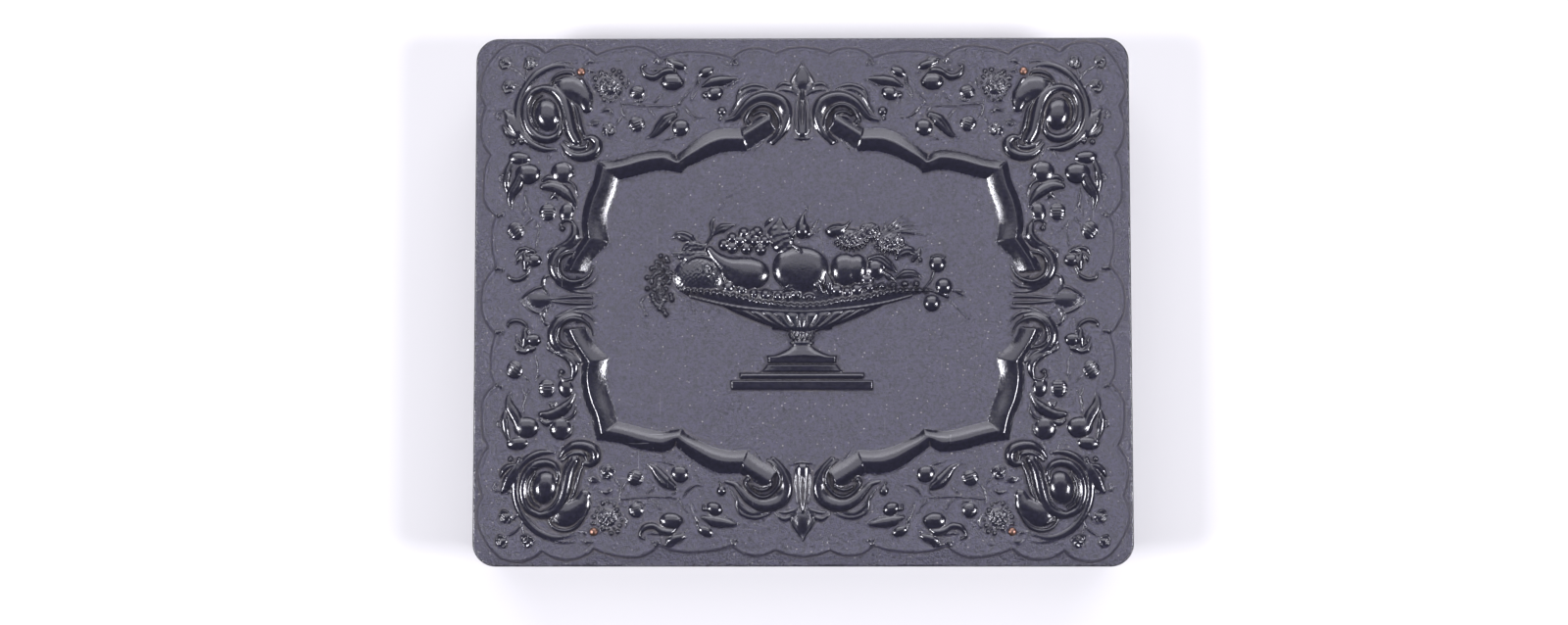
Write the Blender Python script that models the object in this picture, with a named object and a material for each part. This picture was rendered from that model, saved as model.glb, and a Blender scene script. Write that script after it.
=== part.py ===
"""Union case for a half-plate photograph: two moulded halves hinged along the back.

The case lies shut on the rim of its base. X runs along the hinges, +Y points at them,
Z is up, and the origin is the middle of the rim's underside. Everything is in metres.
"""
import math

import bmesh
import bpy
from mathutils import Matrix, Vector

for leftover in list(bpy.data.objects):
    bpy.data.objects.remove(leftover, do_unlink=True)

# Clearances that all pieces share
CLEARANCE = 0.0003
OVERRUN = 0.0015

# The two moulded halves
CASE_LENGTH = 0.157
CASE_DEPTH = 0.1266
HALF_HEIGHT = 0.012
CORNER_RADIUS = 0.0056
INNER_RADIUS = 0.0025
LIP_HEIGHT = 0.0044
COVE_DEPTH = 0.002
WALL = 0.0032
FLOOR = 0.0028
EDGE_ROUND = 0.0006
FOOT_RIM_WIDTH = 0.0065
FOOT_RECESS = 0.0009
TONGUE_WIDTH = 0.001
TONGUE_HEIGHT = 0.0012
CORNER_STEPS = 6
COVE_STEPS = 4

# The lid's moulded relief
BAND_WIDTH = 0.0045
BAND_FALL = 0.0012
FIELD_STEP = 0.0005
RELIEF_HEIGHT = 0.0019
RELIEF_ROOT = 0.0004
ARC_STEPS = 4
DOME_SIDES = 8

# Brass hinges, with their straps let into both halves
HINGE_MARGIN = 0.0255
HINGE_WIDTH = 0.0105
KNUCKLES = 4
KNUCKLE_RADIUS = 0.0013
KNUCKLE_GAP = 0.0002
HINGE_PIN_RADIUS = 0.0004
STRAP_THICKNESS = 0.0005
STRAP_REACH = 0.0056
ROUND_SIDES = 16

# Rivets, one for each strap
RIVET_RADIUS = 0.0006
RIVET_HEAD_RADIUS = 0.001
RIVET_HEAD_HEIGHT = 0.0005
RIVET_INSET = 0.0084

# Hook clasps on the front
CLASP_MARGIN = 0.029
CLASP_WIDTH = 0.008
CLASP_TAB_HEIGHT = 0.0052
HOOK_RISE = 0.0036
HOOK_THICKNESS = 0.0006
HOOK_WIDTH = 0.0018
HOOK_EYE_WALL = 0.0007
HOOK_CLEARANCE = 0.00045
PIVOT_RADIUS = 0.0005
STUD_RADIUS = 0.0006
STUD_HEAD_RADIUS = 0.0011
CLASP_HEAD_HEIGHT = 0.0003

# The picture stack in the base, from the floor up
RETAINER_THICKNESS = 0.002
RETAINER_DROP = 0.0006
CARD_THICKNESS = 0.0008
PLATE_THICKNESS = 0.0005
MAT_THICKNESS = 0.0005
MAT_WINDOW_SHARE = 0.74
GLASS_THICKNESS = 0.0014
PRESERVER_THICKNESS = 0.0004
PRESERVER_FLANGE = 0.0034
WINDOW_STEPS = 48

# The velvet pad in the lid
PAD_THICKNESS = 0.0031
PAD_EDGE_THICKNESS = 0.0018
PAD_DRAW = 0.0009
PAD_CHANNEL = 0.0005

# Heights and insets that follow from the sizes above
MIDDLE = HALF_HEIGHT + CLEARANCE / 2
TOP = 2 * MIDDLE
INNER_INSET = COVE_DEPTH + WALL
TONGUE_INSET = INNER_INSET - TONGUE_WIDTH
HINGE_SPACING = CASE_LENGTH - 2 * HINGE_MARGIN
HINGE_AXIS_Y = CASE_DEPTH / 2 + CLEARANCE
CLASP_SPACING = CASE_LENGTH - 2 * CLASP_MARGIN
RETAINER_INSET = INNER_INSET + CLEARANCE
STACK_INSET = RETAINER_INSET + RETAINER_THICKNESS + CLEARANCE
PLATE_INSET = STACK_INSET + PRESERVER_THICKNESS + CLEARANCE

# Cusps of the scalloped field in one quarter, and how far each arc bows out from its chord.
# Shares of half the length, of half the depth, and of half the depth for the bow.
SCALLOP_SHARES = (
    (0.083, 0.940, 0.020),
    (0.210, 0.915, 0.028),
    (0.440, 0.915, 0.022),
    (0.632, 0.935, 0.034),
    (0.785, 0.942, 0.026),
    (0.965, 0.755, 0.105),
    (0.952, 0.560, 0.022),
    (0.935, 0.330, 0.028),
    (0.930, 0.115, 0.014),
)
AXIS_BOW_SHARES = (0.022, 0.045)

# Stations of the roof-shaped frame in one quarter: inner edge, outer edge, and the ridge's
# share of the way between them. Edges are shares of half the length and of half the depth.
FRAME_SHARES = (
    (0.070, 0.630, 0.115, 0.715, 0.66),
    (0.120, 0.595, 0.150, 0.685, 0.66),
    (0.165, 0.555, 0.190, 0.655, 0.60),
    (0.220, 0.556, 0.250, 0.655, 0.55),
    (0.290, 0.531, 0.305, 0.627, 0.55),
    (0.345, 0.500, 0.350, 0.588, 0.55),
    (0.365, 0.475, 0.385, 0.553, 0.58),
    (0.420, 0.485, 0.410, 0.572, 0.60),
    (0.465, 0.476, 0.450, 0.573, 0.60),
    (0.510, 0.462, 0.530, 0.552, 0.62),
    (0.550, 0.450, 0.627, 0.530, 0.66),
    (0.562, 0.395, 0.645, 0.440, 0.72),
    (0.578, 0.335, 0.668, 0.350, 0.72),
    (0.586, 0.270, 0.676, 0.290, 0.72),
    (0.575, 0.215, 0.672, 0.240, 0.70),
    (0.610, 0.175, 0.698, 0.185, 0.68),
    (0.650, 0.100, 0.730, 0.110, 0.68),
)
FRAME_RIDGE_SHARE = 0.84

# Domes in one quarter: centre, half extents, turn in degrees, height as a share of the relief
QUARTER_DOME_SHARES = (
    (0.712, 0.802, 0.052, 0.053, 0, 0.72),
    (0.778, 0.703, 0.042, 0.066, 0, 0.93),
    (0.590, 0.814, 0.033, 0.040, 0, 0.56),
    (0.398, 0.828, 0.036, 0.036, 0, 0.66),
    (0.382, 0.893, 0.034, 0.019, 14, 0.50),
    (0.267, 0.783, 0.029, 0.028, 0, 0.60),
    (0.503, 0.788, 0.027, 0.031, 0, 0.52),
    (0.505, 0.667, 0.028, 0.033, 0, 0.52),
    (0.371, 0.653, 0.030, 0.034, 0, 0.54),
    (0.732, 0.482, 0.037, 0.045, 0, 0.63),
    (0.838, 0.478, 0.042, 0.043, 0, 0.70),
    (0.862, 0.538, 0.036, 0.027, 0, 0.55),
    (0.717, 0.330, 0.026, 0.040, 0, 0.52),
    (0.775, 0.332, 0.028, 0.037, 0, 0.52),
    (0.872, 0.262, 0.028, 0.037, 0, 0.52),
    (0.816, 0.150, 0.027, 0.028, 0, 0.54),
    (0.829, 0.902, 0.021, 0.026, 0, 0.40),
    (0.907, 0.903, 0.020, 0.025, 0, 0.40),
    (0.896, 0.812, 0.022, 0.027, 0, 0.40),
)
AXIS_DOME_SHARES = (
    (0.000, 0.835, 0.032, 0.060, 0, 0.40),
    (0.000, 0.700, 0.014, 0.080, 0, 0.42),
)
SIDE_DOME_SHARES = (
    (0.800, 0.000, 0.052, 0.038, 0, 0.37),
    (0.700, 0.000, 0.060, 0.014, 0, 0.36),
)

# Curled leaves and scrolls in one quarter, as rows of stations along each: place, then half
# width and height as shares of the relief's height
CURL_SHARES = (
    # the corner's ring, its S-shaped stem, bulb, lobe rim and outer band
    ((0.800, 0.800, 0.50, 0.64), (0.838, 0.758, 0.66, 0.72), (0.845, 0.700, 0.71, 0.74),
     (0.828, 0.643, 0.71, 0.72), (0.785, 0.611, 0.62, 0.66), (0.748, 0.625, 0.54, 0.62),
     (0.740, 0.665, 0.40, 0.52)),
    ((0.812, 0.802, 0.40, 0.60), (0.768, 0.799, 0.70, 0.70), (0.733, 0.762, 0.88, 0.78),
     (0.714, 0.692, 0.92, 0.84), (0.703, 0.635, 0.89, 0.80), (0.689, 0.598, 0.78, 0.74)),
    ((0.662, 0.612, 0.40, 0.52), (0.630, 0.601, 0.68, 0.68), (0.629, 0.565, 0.78, 0.72),
     (0.665, 0.546, 0.68, 0.68), (0.712, 0.560, 0.50, 0.54), (0.735, 0.592, 0.25, 0.34)),
    ((0.649, 0.740, 0.34, 0.36), (0.659, 0.802, 0.34, 0.48), (0.688, 0.842, 0.34, 0.52),
     (0.735, 0.858, 0.34, 0.52), (0.766, 0.822, 0.22, 0.38)),
    ((0.655, 0.735, 0.90, 0.48), (0.675, 0.780, 1.40, 0.66), (0.705, 0.802, 1.70, 0.70)),
    ((0.740, 0.889, 0.42, 0.28), (0.790, 0.874, 0.56, 0.36), (0.842, 0.812, 0.58, 0.40),
     (0.864, 0.750, 0.58, 0.42), (0.867, 0.680, 0.58, 0.48), (0.850, 0.615, 0.60, 0.54),
     (0.810, 0.580, 0.56, 0.52), (0.750, 0.572, 0.24, 0.30)),
    # the scroll at the end of the long arm: its broad outer band, inner rim and leaf
    ((0.090, 0.600, 0.54, 0.38), (0.060, 0.650, 0.72, 0.50), (0.051, 0.705, 0.92, 0.62),
     (0.078, 0.753, 1.00, 0.68), (0.125, 0.765, 1.00, 0.70), (0.172, 0.733, 0.72, 0.58),
     (0.205, 0.690, 0.48, 0.46), (0.235, 0.680, 0.26, 0.28)),
    ((0.105, 0.600, 0.22, 0.42), (0.071, 0.650, 0.30, 0.70), (0.080, 0.712, 0.32, 0.78),
     (0.130, 0.737, 0.32, 0.80), (0.165, 0.705, 0.38, 0.78), (0.166, 0.674, 0.40, 0.72)),
    ((0.095, 0.785, 0.26, 0.18), (0.150, 0.802, 0.84, 0.28), (0.187, 0.775, 0.80, 0.34),
     (0.222, 0.706, 0.20, 0.24)),
    # the scroll at the end of the short arm: its outer band, inner rim and tail
    ((0.675, 0.235, 0.34, 0.34), (0.726, 0.192, 0.62, 0.52), (0.756, 0.148, 0.74, 0.60),
     (0.752, 0.102, 0.70, 0.62), (0.722, 0.066, 0.54, 0.56), (0.672, 0.059, 0.28, 0.34)),
    ((0.695, 0.180, 0.28, 0.64), (0.732, 0.162, 0.32, 0.78), (0.740, 0.115, 0.36, 0.78),
     (0.708, 0.071, 0.42, 0.74), (0.650, 0.088, 0.24, 0.48)),
    ((0.700, 0.302, 0.26, 0.34), (0.690, 0.260, 0.66, 0.58), (0.705, 0.217, 0.62, 0.56),
     (0.745, 0.198, 0.32, 0.38)),
    # leaves along the short side, then along the long side
    ((0.907, 0.718, 0.40, 0.38), (0.888, 0.686, 0.98, 0.62), (0.868, 0.635, 0.80, 0.58),
     (0.860, 0.608, 0.34, 0.42)),
    ((0.688, 0.350, 0.22, 0.28), (0.712, 0.398, 0.78, 0.60), (0.755, 0.430, 0.88, 0.66),
     (0.792, 0.430, 0.46, 0.52)),
    ((0.852, 0.500, 0.50, 0.58), (0.866, 0.440, 0.84, 0.60), (0.886, 0.392, 0.68, 0.48),
     (0.885, 0.345, 0.22, 0.24)),
    ((0.888, 0.525, 0.34, 0.38), (0.900, 0.462, 0.60, 0.48), (0.899, 0.405, 0.22, 0.24)),
    ((0.820, 0.185, 0.24, 0.32), (0.843, 0.160, 0.62, 0.58), (0.842, 0.115, 0.34, 0.42)),
    ((0.390, 0.702, 0.52, 0.52), (0.426, 0.664, 0.82, 0.56), (0.475, 0.612, 0.16, 0.18)),
    ((0.378, 0.853, 0.18, 0.28), (0.415, 0.866, 0.56, 0.56), (0.462, 0.846, 0.46, 0.48),
     (0.489, 0.873, 0.34, 0.44)),
)

# Fruit in the middle panel, listed as the quarter domes are
FRUIT_SHARES = (
    (-0.166, 0.098, 0.062, 0.062, 0, 0.92),
    (-0.317, 0.088, 0.078, 0.083, 0, 0.78),
    (0.000, 0.112, 0.077, 0.085, 0, 1.00),
    (-0.045, 0.118, 0.048, 0.074, 0, 0.90),
    (0.126, 0.113, 0.042, 0.065, 0, 0.90),
    (0.158, 0.117, 0.031, 0.056, 0, 0.87),
    (0.222, 0.115, 0.033, 0.042, 0, 0.74),
    (-0.430, 0.105, 0.036, 0.085, 0, 0.52),
    (-0.432, -0.002, 0.026, 0.060, 0, 0.46),
    (-0.208, 0.214, 0.044, 0.044, 0, 0.62),
    (-0.148, 0.222, 0.040, 0.052, 0, 0.64),
    (-0.065, 0.225, 0.040, 0.078, 0, 0.60),
    (0.000, 0.266, 0.026, 0.048, 0, 0.72),
    (0.103, 0.262, 0.038, 0.028, 10, 0.68),
    (0.148, 0.228, 0.046, 0.038, 0, 0.66),
    (0.205, 0.262, 0.034, 0.032, 0, 0.54),
    (0.268, 0.218, 0.045, 0.038, 0, 0.60),
    (0.308, 0.170, 0.032, 0.022, 0, 0.52),
    (0.325, 0.090, 0.036, 0.018, 0, 0.50),
    (0.250, 0.140, 0.040, 0.026, -40, 0.60),
    (-0.350, 0.186, 0.042, 0.026, 0, 0.46),
    (-0.358, 0.234, 0.034, 0.020, -20, 0.40),
    (0.410, 0.135, 0.028, 0.034, 0, 0.66),
    (0.428, 0.050, 0.028, 0.034, 0, 0.66),
    (0.392, -0.012, 0.028, 0.034, 0, 0.66),
)
# Neck of the pear, a station to a row as in the curled leaves
PEAR_NECK_SHARES = (
    (-0.283, 0.190, 0.60, 0.62), (-0.262, 0.158, 1.00, 0.78), (-0.230, 0.128, 1.60, 0.88),
    (-0.190, 0.104, 2.20, 0.91),
)
# Levels of the footed bowl from its plinth up the panel: place, half length, and height above
# the ground near the sides and in the middle. The open bowl sinks in the middle at the top.
BOWL_SHARES = (
    (-0.337, 0.218, 0.42, 0.42),
    (-0.302, 0.218, 0.42, 0.42),
    (-0.298, 0.190, 0.60, 0.62),
    (-0.275, 0.190, 0.60, 0.62),
    (-0.271, 0.128, 0.68, 0.76),
    (-0.242, 0.106, 0.68, 0.76),
    (-0.238, 0.105, 0.66, 0.68),
    (-0.214, 0.102, 0.66, 0.70),
    (-0.200, 0.068, 0.56, 0.82),
    (-0.178, 0.036, 0.52, 0.86),
    (-0.164, 0.040, 0.52, 0.88),
    (-0.150, 0.028, 0.50, 0.88),
    (-0.133, 0.045, 0.54, 0.88),
    (-0.115, 0.054, 0.54, 0.88),
    (-0.110, 0.093, 0.56, 0.88),
    (-0.090, 0.122, 0.54, 0.88),
    (-0.050, 0.200, 0.54, 0.87),
    (-0.026, 0.240, 0.56, 0.84),
    (-0.008, 0.275, 0.62, 0.52),
    (0.014, 0.328, 0.66, 0.46),
    (0.032, 0.375, 0.62, 0.45),
    (0.046, 0.388, 0.30, 0.45),
)
# Places across the bowl of the sides' height and of the middle's, against the half length
BOWL_SIDE_SHARE = 0.84
BOWL_MIDDLE_SHARE = 0.40
# Width and height of a dome's levels above its root
DOME_LEVEL_SHARES = ((0.80, 0.60), (0.32, 0.95))
# Width of a rivet head's flat crown, and height of its shoulder
RIVET_DOME_SHARES = (0.5, 0.7)
# Width of a curled leaf's flat top against its foot
CURL_TOP_SHARE = 0.5
# Grid lines of the pad from its middle to its edge; the channel lies on CHANNEL_SHARE
PAD_GRID_SHARES = (0.0, 0.25, 0.5, 0.68, 0.76, 0.8, 0.84, 0.92, 0.97, 1.0)
CHANNEL_SHARE = 0.8
PAD_CORNER_SHARE = 0.45

BOTH_WAYS = (1, -1)
QUARTERS = ((1, 1), (-1, 1), (-1, -1), (1, -1))
BACK, FRONT = 1, -1


def material(name, colour, roughness, metallic=0.0, transmission=0.0):
    """One Principled material."""
    made = bpy.data.materials.new(name)
    made.use_nodes = True
    shader = made.node_tree.nodes["Principled BSDF"]
    shader.inputs["Base Color"].default_value = (*colour, 1.0)
    shader.inputs["Roughness"].default_value = roughness
    shader.inputs["Metallic"].default_value = metallic
    shader.inputs["Transmission Weight"].default_value = transmission
    return made


def loft(mesh, rings, closed=False, tips=()):
    """Skin a row of equal rings; the ends meet when the row is closed, run to tips, or are capped."""
    rows = [[mesh.verts.new(point) for point in ring] for ring in rings]
    pairs = list(zip(rows, rows[1:]))
    if closed:
        pairs.append((rows[-1], rows[0]))
    elif tips:
        for row, tip in zip((rows[0], rows[-1]), tips):
            end = mesh.verts.new(tip)
            for index, corner in enumerate(row):
                mesh.faces.new((corner, row[(index + 1) % len(row)], end))
    else:
        mesh.faces.new(list(reversed(rows[0])))
        mesh.faces.new(rows[-1])
    for low, high in pairs:
        for index, corner in enumerate(low):
            following = (index + 1) % len(low)
            mesh.faces.new((corner, low[following], high[following], high[index]))


def solid(name, mesh, finish=None, origin=None):
    """Turn a bmesh into a named object, with its origin moved to a joint if one is given."""
    bmesh.ops.recalc_face_normals(mesh, faces=mesh.faces)
    data = bpy.data.meshes.new(name)
    if origin is not None:
        bmesh.ops.translate(mesh, verts=mesh.verts, vec=-origin)
    mesh.to_mesh(data)
    mesh.free()
    made = bpy.data.objects.new(name, data)
    if origin is not None:
        made.location = origin
    bpy.context.scene.collection.objects.link(made)
    if finish is None:
        made.hide_render = True
        made.display_type = 'WIRE'
    else:
        data.materials.append(finish)
    return made


def combine(target, tool, operation):
    """Cut a tool from a target, or join it on."""
    change = target.modifiers.new(tool.name, 'BOOLEAN')
    change.operation = operation
    change.solver = 'EXACT'
    change.use_self = True
    change.object = tool


def outline(inset, height):
    """Rounded rectangle that lies inset from the case's edge, at a height."""
    radius = max(CORNER_RADIUS - inset, INNER_RADIUS)
    reach_x = CASE_LENGTH / 2 - inset - radius
    reach_y = CASE_DEPTH / 2 - inset - radius
    points = []
    for corner, (side_x, side_y) in enumerate(QUARTERS):
        for step in range(CORNER_STEPS + 1):
            angle = math.pi / 2 * (corner + step / CORNER_STEPS)
            points.append(Vector((side_x * reach_x + radius * math.cos(angle),
                                  side_y * reach_y + radius * math.sin(angle), height)))
    return points


def lofted_outlines(profile, closed=False):
    """Carry a profile of insets and heights round the case."""
    mesh = bmesh.new()
    loft(mesh, [outline(inset, height) for inset, height in profile], closed)
    return mesh


def slab(name, inset, low, thickness, finish):
    """Flat sheet with the case's outline."""
    return solid(name, lofted_outlines(((inset, low), (inset, low + thickness))), finish)


def prism(mesh, profile, low, high):
    """Carry a profile of y and z along X."""
    loft(mesh, [[Vector((x, y, z)) for y, z in profile] for x in (low, high)])


def turned(mesh, profile, start, direction):
    """Turn a profile of radii and distances about an axis."""
    spin = Vector((0, 0, 1)).rotation_difference(Vector(direction)).to_matrix()
    rings = []
    for radius, distance in profile:
        ring = []
        for step in range(ROUND_SIDES):
            angle = math.tau * step / ROUND_SIDES
            ring.append(start + spin @ Vector((radius * math.cos(angle), radius * math.sin(angle), distance)))
        rings.append(ring)
    loft(mesh, rings)


def half_height(height, in_lid):
    """A height in the base, or its mirror place in the lid."""
    return TOP - height if in_lid else height


def cove_profile(in_lid):
    """Outer side of a half, from the end of its lip in to the parting line."""
    rows = []
    for step in range(COVE_STEPS + 1):
        turn = math.pi / 2 * step / COVE_STEPS
        height = LIP_HEIGHT + (HALF_HEIGHT - LIP_HEIGHT) * (1 - math.cos(turn))
        rows.append((COVE_DEPTH * math.sin(turn), half_height(height, in_lid)))
    return rows


def base_profile():
    """Section of the base: recessed underside, lip, cove, rim with its tongue, wall and floor."""
    return [
        (FOOT_RIM_WIDTH + FOOT_RECESS, FOOT_RECESS),
        (FOOT_RIM_WIDTH, 0),
        (EDGE_ROUND, 0),
        (0, EDGE_ROUND),
        *cove_profile(False),
        (TONGUE_INSET, HALF_HEIGHT),
        (TONGUE_INSET, HALF_HEIGHT + TONGUE_HEIGHT),
        (INNER_INSET, HALF_HEIGHT + TONGUE_HEIGHT),
        (INNER_INSET, FLOOR),
    ]


def lid_profile():
    """Section of the lid: sloping band, lip, cove, rim with its rabbet, wall and ceiling."""
    rim = half_height(HALF_HEIGHT, True)
    return [
        (BAND_WIDTH, TOP - FIELD_STEP),
        (EDGE_ROUND, TOP - BAND_FALL),
        (0, TOP - BAND_FALL - EDGE_ROUND),
        *cove_profile(True),
        (TONGUE_INSET - CLEARANCE, rim),
        (TONGUE_INSET - CLEARANCE, rim + TONGUE_HEIGHT + CLEARANCE),
        (INNER_INSET, rim + TONGUE_HEIGHT + CLEARANCE),
        (INNER_INSET, half_height(FLOOR, True)),
    ]


def on_lid(x_share, y_share, height=0.0):
    """Point above the lid's ground, from shares of half the length and depth."""
    return Vector((x_share * CASE_LENGTH / 2, y_share * CASE_DEPTH / 2, TOP + height))


def bowed(start, end, bow, steps):
    """Points from start up to, not at, end on an arc that bows to the left of the way."""
    along = end - start
    side = Vector((-along.y, along.x, 0)).normalized()
    points = []
    for step in range(steps):
        share = step / steps
        points.append(start + along * share + side * bow * (4 * share * (1 - share)) ** 0.8)
    return points


def scalloped_outline():
    """The field's edge, quarter after quarter, anticlockwise from the +X axis."""
    cusps = []
    for quarter, (side_x, side_y) in enumerate(QUARTERS):
        forward = quarter % 2 == 1
        rows = SCALLOP_SHARES if forward else tuple(reversed(SCALLOP_SHARES))
        bows = [row[2] for row in SCALLOP_SHARES[1:]]
        bows = bows if forward else bows[::-1]
        bows = bows + [AXIS_BOW_SHARES[1 if forward else 0]]
        for row, bow in zip(rows, bows):
            cusps.append((on_lid(side_x * row[0], side_y * row[1]), bow * CASE_DEPTH / 2))
    points = []
    for index, (cusp, bow) in enumerate(cusps):
        following = cusps[(index + 1) % len(cusps)][0]
        points += bowed(cusp, following, -bow, ARC_STEPS)
    return points


def add_field(mesh):
    """The raised scalloped ground."""
    root = Vector((0, 0, -FIELD_STEP - FLOOR / 2))
    edge = scalloped_outline()
    loft(mesh, [[point + root for point in edge], edge])


def add_frame(mesh, side_x, side_y):
    """One quarter of the roof-shaped frame round the panel."""
    root = Vector((0, 0, -RELIEF_ROOT))
    rise = Vector((0, 0, FRAME_RIDGE_SHARE * RELIEF_HEIGHT))
    rings = []
    for inner_x, inner_y, outer_x, outer_y, ridge_share in FRAME_SHARES:
        inner = on_lid(side_x * inner_x, side_y * inner_y)
        outer = on_lid(side_x * outer_x, side_y * outer_y)
        ridge = inner.lerp(outer, ridge_share)
        rings.append([inner + root, ridge + rise, outer + root, ridge + 2 * root])
    loft(mesh, rings)


def add_dome(mesh, x_share, y_share, length_share, depth_share, turn, height_share):
    """Rounded boss with an oval foot that is let into the ground."""
    centre = on_lid(x_share, y_share)
    spin = Matrix.Rotation(math.radians(turn), 3, 'Z')
    half_length = length_share * CASE_LENGTH / 2
    half_depth = depth_share * CASE_DEPTH / 2
    levels = [(1, -RELIEF_ROOT)]
    for width_share, rise_share in DOME_LEVEL_SHARES:
        levels.append((width_share, rise_share * height_share * RELIEF_HEIGHT))
    rings = []
    for width, height in levels:
        ring = []
        for step in range(DOME_SIDES):
            angle = math.tau * (step + 0.5) / DOME_SIDES
            corner = Vector((width * half_length * math.cos(angle), width * half_depth * math.sin(angle), 0))
            ring.append(centre + spin @ corner + Vector((0, 0, height)))
        rings.append(ring)
    heights = (-2 * RELIEF_ROOT, height_share * RELIEF_HEIGHT)
    loft(mesh, rings, tips=[centre + Vector((0, 0, height)) for height in heights])


def add_curl(mesh, stations, side_x=1, side_y=1):
    """Curled leaf or scroll with sloping sides and a flat top along its stations."""
    path = [on_lid(side_x * row[0], side_y * row[1]) for row in stations]
    root = Vector((0, 0, -RELIEF_ROOT))
    rings = []
    for index, (point, row) in enumerate(zip(path, stations)):
        along = path[min(index + 1, len(path) - 1)] - path[max(index - 1, 0)]
        side = Vector((-along.y, along.x, 0)).normalized() * row[2] * RELIEF_HEIGHT
        rise = Vector((0, 0, row[3] * RELIEF_HEIGHT))
        rings.append([point + side + root, point + side * CURL_TOP_SHARE + rise,
                      point - side * CURL_TOP_SHARE + rise, point - side + root, point + 2 * root])
    loft(mesh, rings)


def add_bowl(mesh):
    """The footed bowl, level by level from its plinth to its rim."""
    rings = []
    for y_share, half_share, side_height, middle_height in BOWL_SHARES:
        side = (half_share * BOWL_SIDE_SHARE, side_height * RELIEF_HEIGHT)
        middle = (half_share * BOWL_MIDDLE_SHARE, middle_height * RELIEF_HEIGHT)
        section = [(half_share, -RELIEF_ROOT), side, middle]
        ring = [on_lid(-x_share, y_share, height) for x_share, height in section]
        ring += [on_lid(x_share, y_share, height) for x_share, height in reversed(section)]
        rings.append([*ring, on_lid(0, y_share, -2 * RELIEF_ROOT)])
    loft(mesh, rings)


def relief_solids():
    """Tools for the lid: the field, the frame, and everything that stands on them."""
    field = bmesh.new()
    add_field(field)
    ornament = bmesh.new()
    for side_x, side_y in QUARTERS:
        add_frame(ornament, side_x, side_y)
        for stations in CURL_SHARES:
            add_curl(ornament, stations, side_x, side_y)
        for x_share, y_share, length_share, depth_share, turn, height_share in QUARTER_DOME_SHARES:
            add_dome(ornament, side_x * x_share, side_y * y_share, length_share, depth_share,
                     side_x * side_y * turn, height_share)
    for side in BOTH_WAYS:
        for x_share, y_share, *form in AXIS_DOME_SHARES:
            add_dome(ornament, x_share, side * y_share, *form)
        for x_share, y_share, *form in SIDE_DOME_SHARES:
            add_dome(ornament, side * x_share, y_share, *form)
    add_bowl(ornament)
    add_curl(ornament, PEAR_NECK_SHARES)
    for row in FRUIT_SHARES:
        add_dome(ornament, *row)
    return solid("relief_field", field), solid("relief_ornament", ornament)


def strap_profile(start_inset, tab_drop=0.0):
    """Section of a strap: over the rim, down the wall and along the floor.

    A tab drop adds the outer tab that hangs in front of the cove.
    """
    back_inset = INNER_INSET - STRAP_THICKNESS
    end_inset = INNER_INSET + STRAP_REACH
    rows = [
        (start_inset, HALF_HEIGHT),
        (INNER_INSET, HALF_HEIGHT),
        (INNER_INSET, FLOOR),
        (end_inset, FLOOR),
        (end_inset, FLOOR - STRAP_THICKNESS),
        (back_inset, FLOOR - STRAP_THICKNESS),
        (back_inset, HALF_HEIGHT - STRAP_THICKNESS),
    ]
    if tab_drop:
        tab_inset = start_inset + STRAP_THICKNESS
        rows += [
            (tab_inset, HALF_HEIGHT - STRAP_THICKNESS),
            (tab_inset, HALF_HEIGHT - tab_drop),
            (start_inset, HALF_HEIGHT - tab_drop),
        ]
    else:
        rows.append((start_inset, HALF_HEIGHT - STRAP_THICKNESS))
    return rows


def placed(rows, side, in_lid):
    """Section rows of inset and height as y and z, at the front or back of a half."""
    return [(side * (CASE_DEPTH / 2 - inset), half_height(height, in_lid)) for inset, height in rows]


def box_rows(low_inset, high_inset, low, high):
    """Section of a box."""
    return [(low_inset, low), (high_inset, low), (high_inset, high), (low_inset, high)]


def rivet_drill(name, centre, side, in_lid):
    """Tool for a rivet's hole, with the wider seat that its head stands in outside."""
    ground = 0 if in_lid else FOOT_RECESS
    outside = RELIEF_HEIGHT + OVERRUN
    seat_radius = RIVET_HEAD_RADIUS + CLEARANCE
    hole_radius = RIVET_RADIUS + CLEARANCE
    profile = (
        (seat_radius, 0),
        (seat_radius, outside),
        (hole_radius, outside),
        (hole_radius, outside - ground + FLOOR + OVERRUN),
    )
    start = Vector((centre, side * (CASE_DEPTH / 2 - RIVET_INSET), half_height(ground - outside, in_lid)))
    mesh = bmesh.new()
    turned(mesh, profile, start, (0, 0, -1 if in_lid else 1))
    return solid(name, mesh)


def cut_strap_seat(shell, centre, width, side, in_lid, tab_drop=0.0):
    """Let a strap into the rim, the wall and the floor of a half, and drill for its rivet."""
    depth = STRAP_THICKNESS + CLEARANCE
    above = HALF_HEIGHT + TONGUE_HEIGHT + OVERRUN
    seats = [
        box_rows(-OVERRUN, INNER_INSET + OVERRUN, HALF_HEIGHT - depth, above),
        box_rows(INNER_INSET - depth, INNER_INSET + OVERRUN, FLOOR - depth, above),
        box_rows(INNER_INSET - depth, INNER_INSET + STRAP_REACH + CLEARANCE, FLOOR - depth, FLOOR + OVERRUN),
    ]
    if tab_drop:
        seats.append(box_rows(-OVERRUN, COVE_DEPTH, HALF_HEIGHT - tab_drop - CLEARANCE, above))
    mesh = bmesh.new()
    reach = width / 2 + CLEARANCE
    for rows in seats:
        prism(mesh, placed(rows, side, in_lid), centre - reach, centre + reach)
    combine(shell, solid(f"{shell.name}_seat", mesh), 'DIFFERENCE')
    combine(shell, rivet_drill(f"{shell.name}_drill", centre, side, in_lid), 'DIFFERENCE')


def strap(name, centre, width, side, in_lid, start_inset, finish, tab_drop=0.0):
    """Strap with its rivet hole."""
    mesh = bmesh.new()
    section = placed(strap_profile(start_inset, tab_drop), side, in_lid)
    prism(mesh, section, centre - width / 2, centre + width / 2)
    made = solid(name, mesh, finish)
    combine(made, rivet_drill(f"{name}_drill", centre, side, in_lid), 'DIFFERENCE')
    return made


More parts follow.
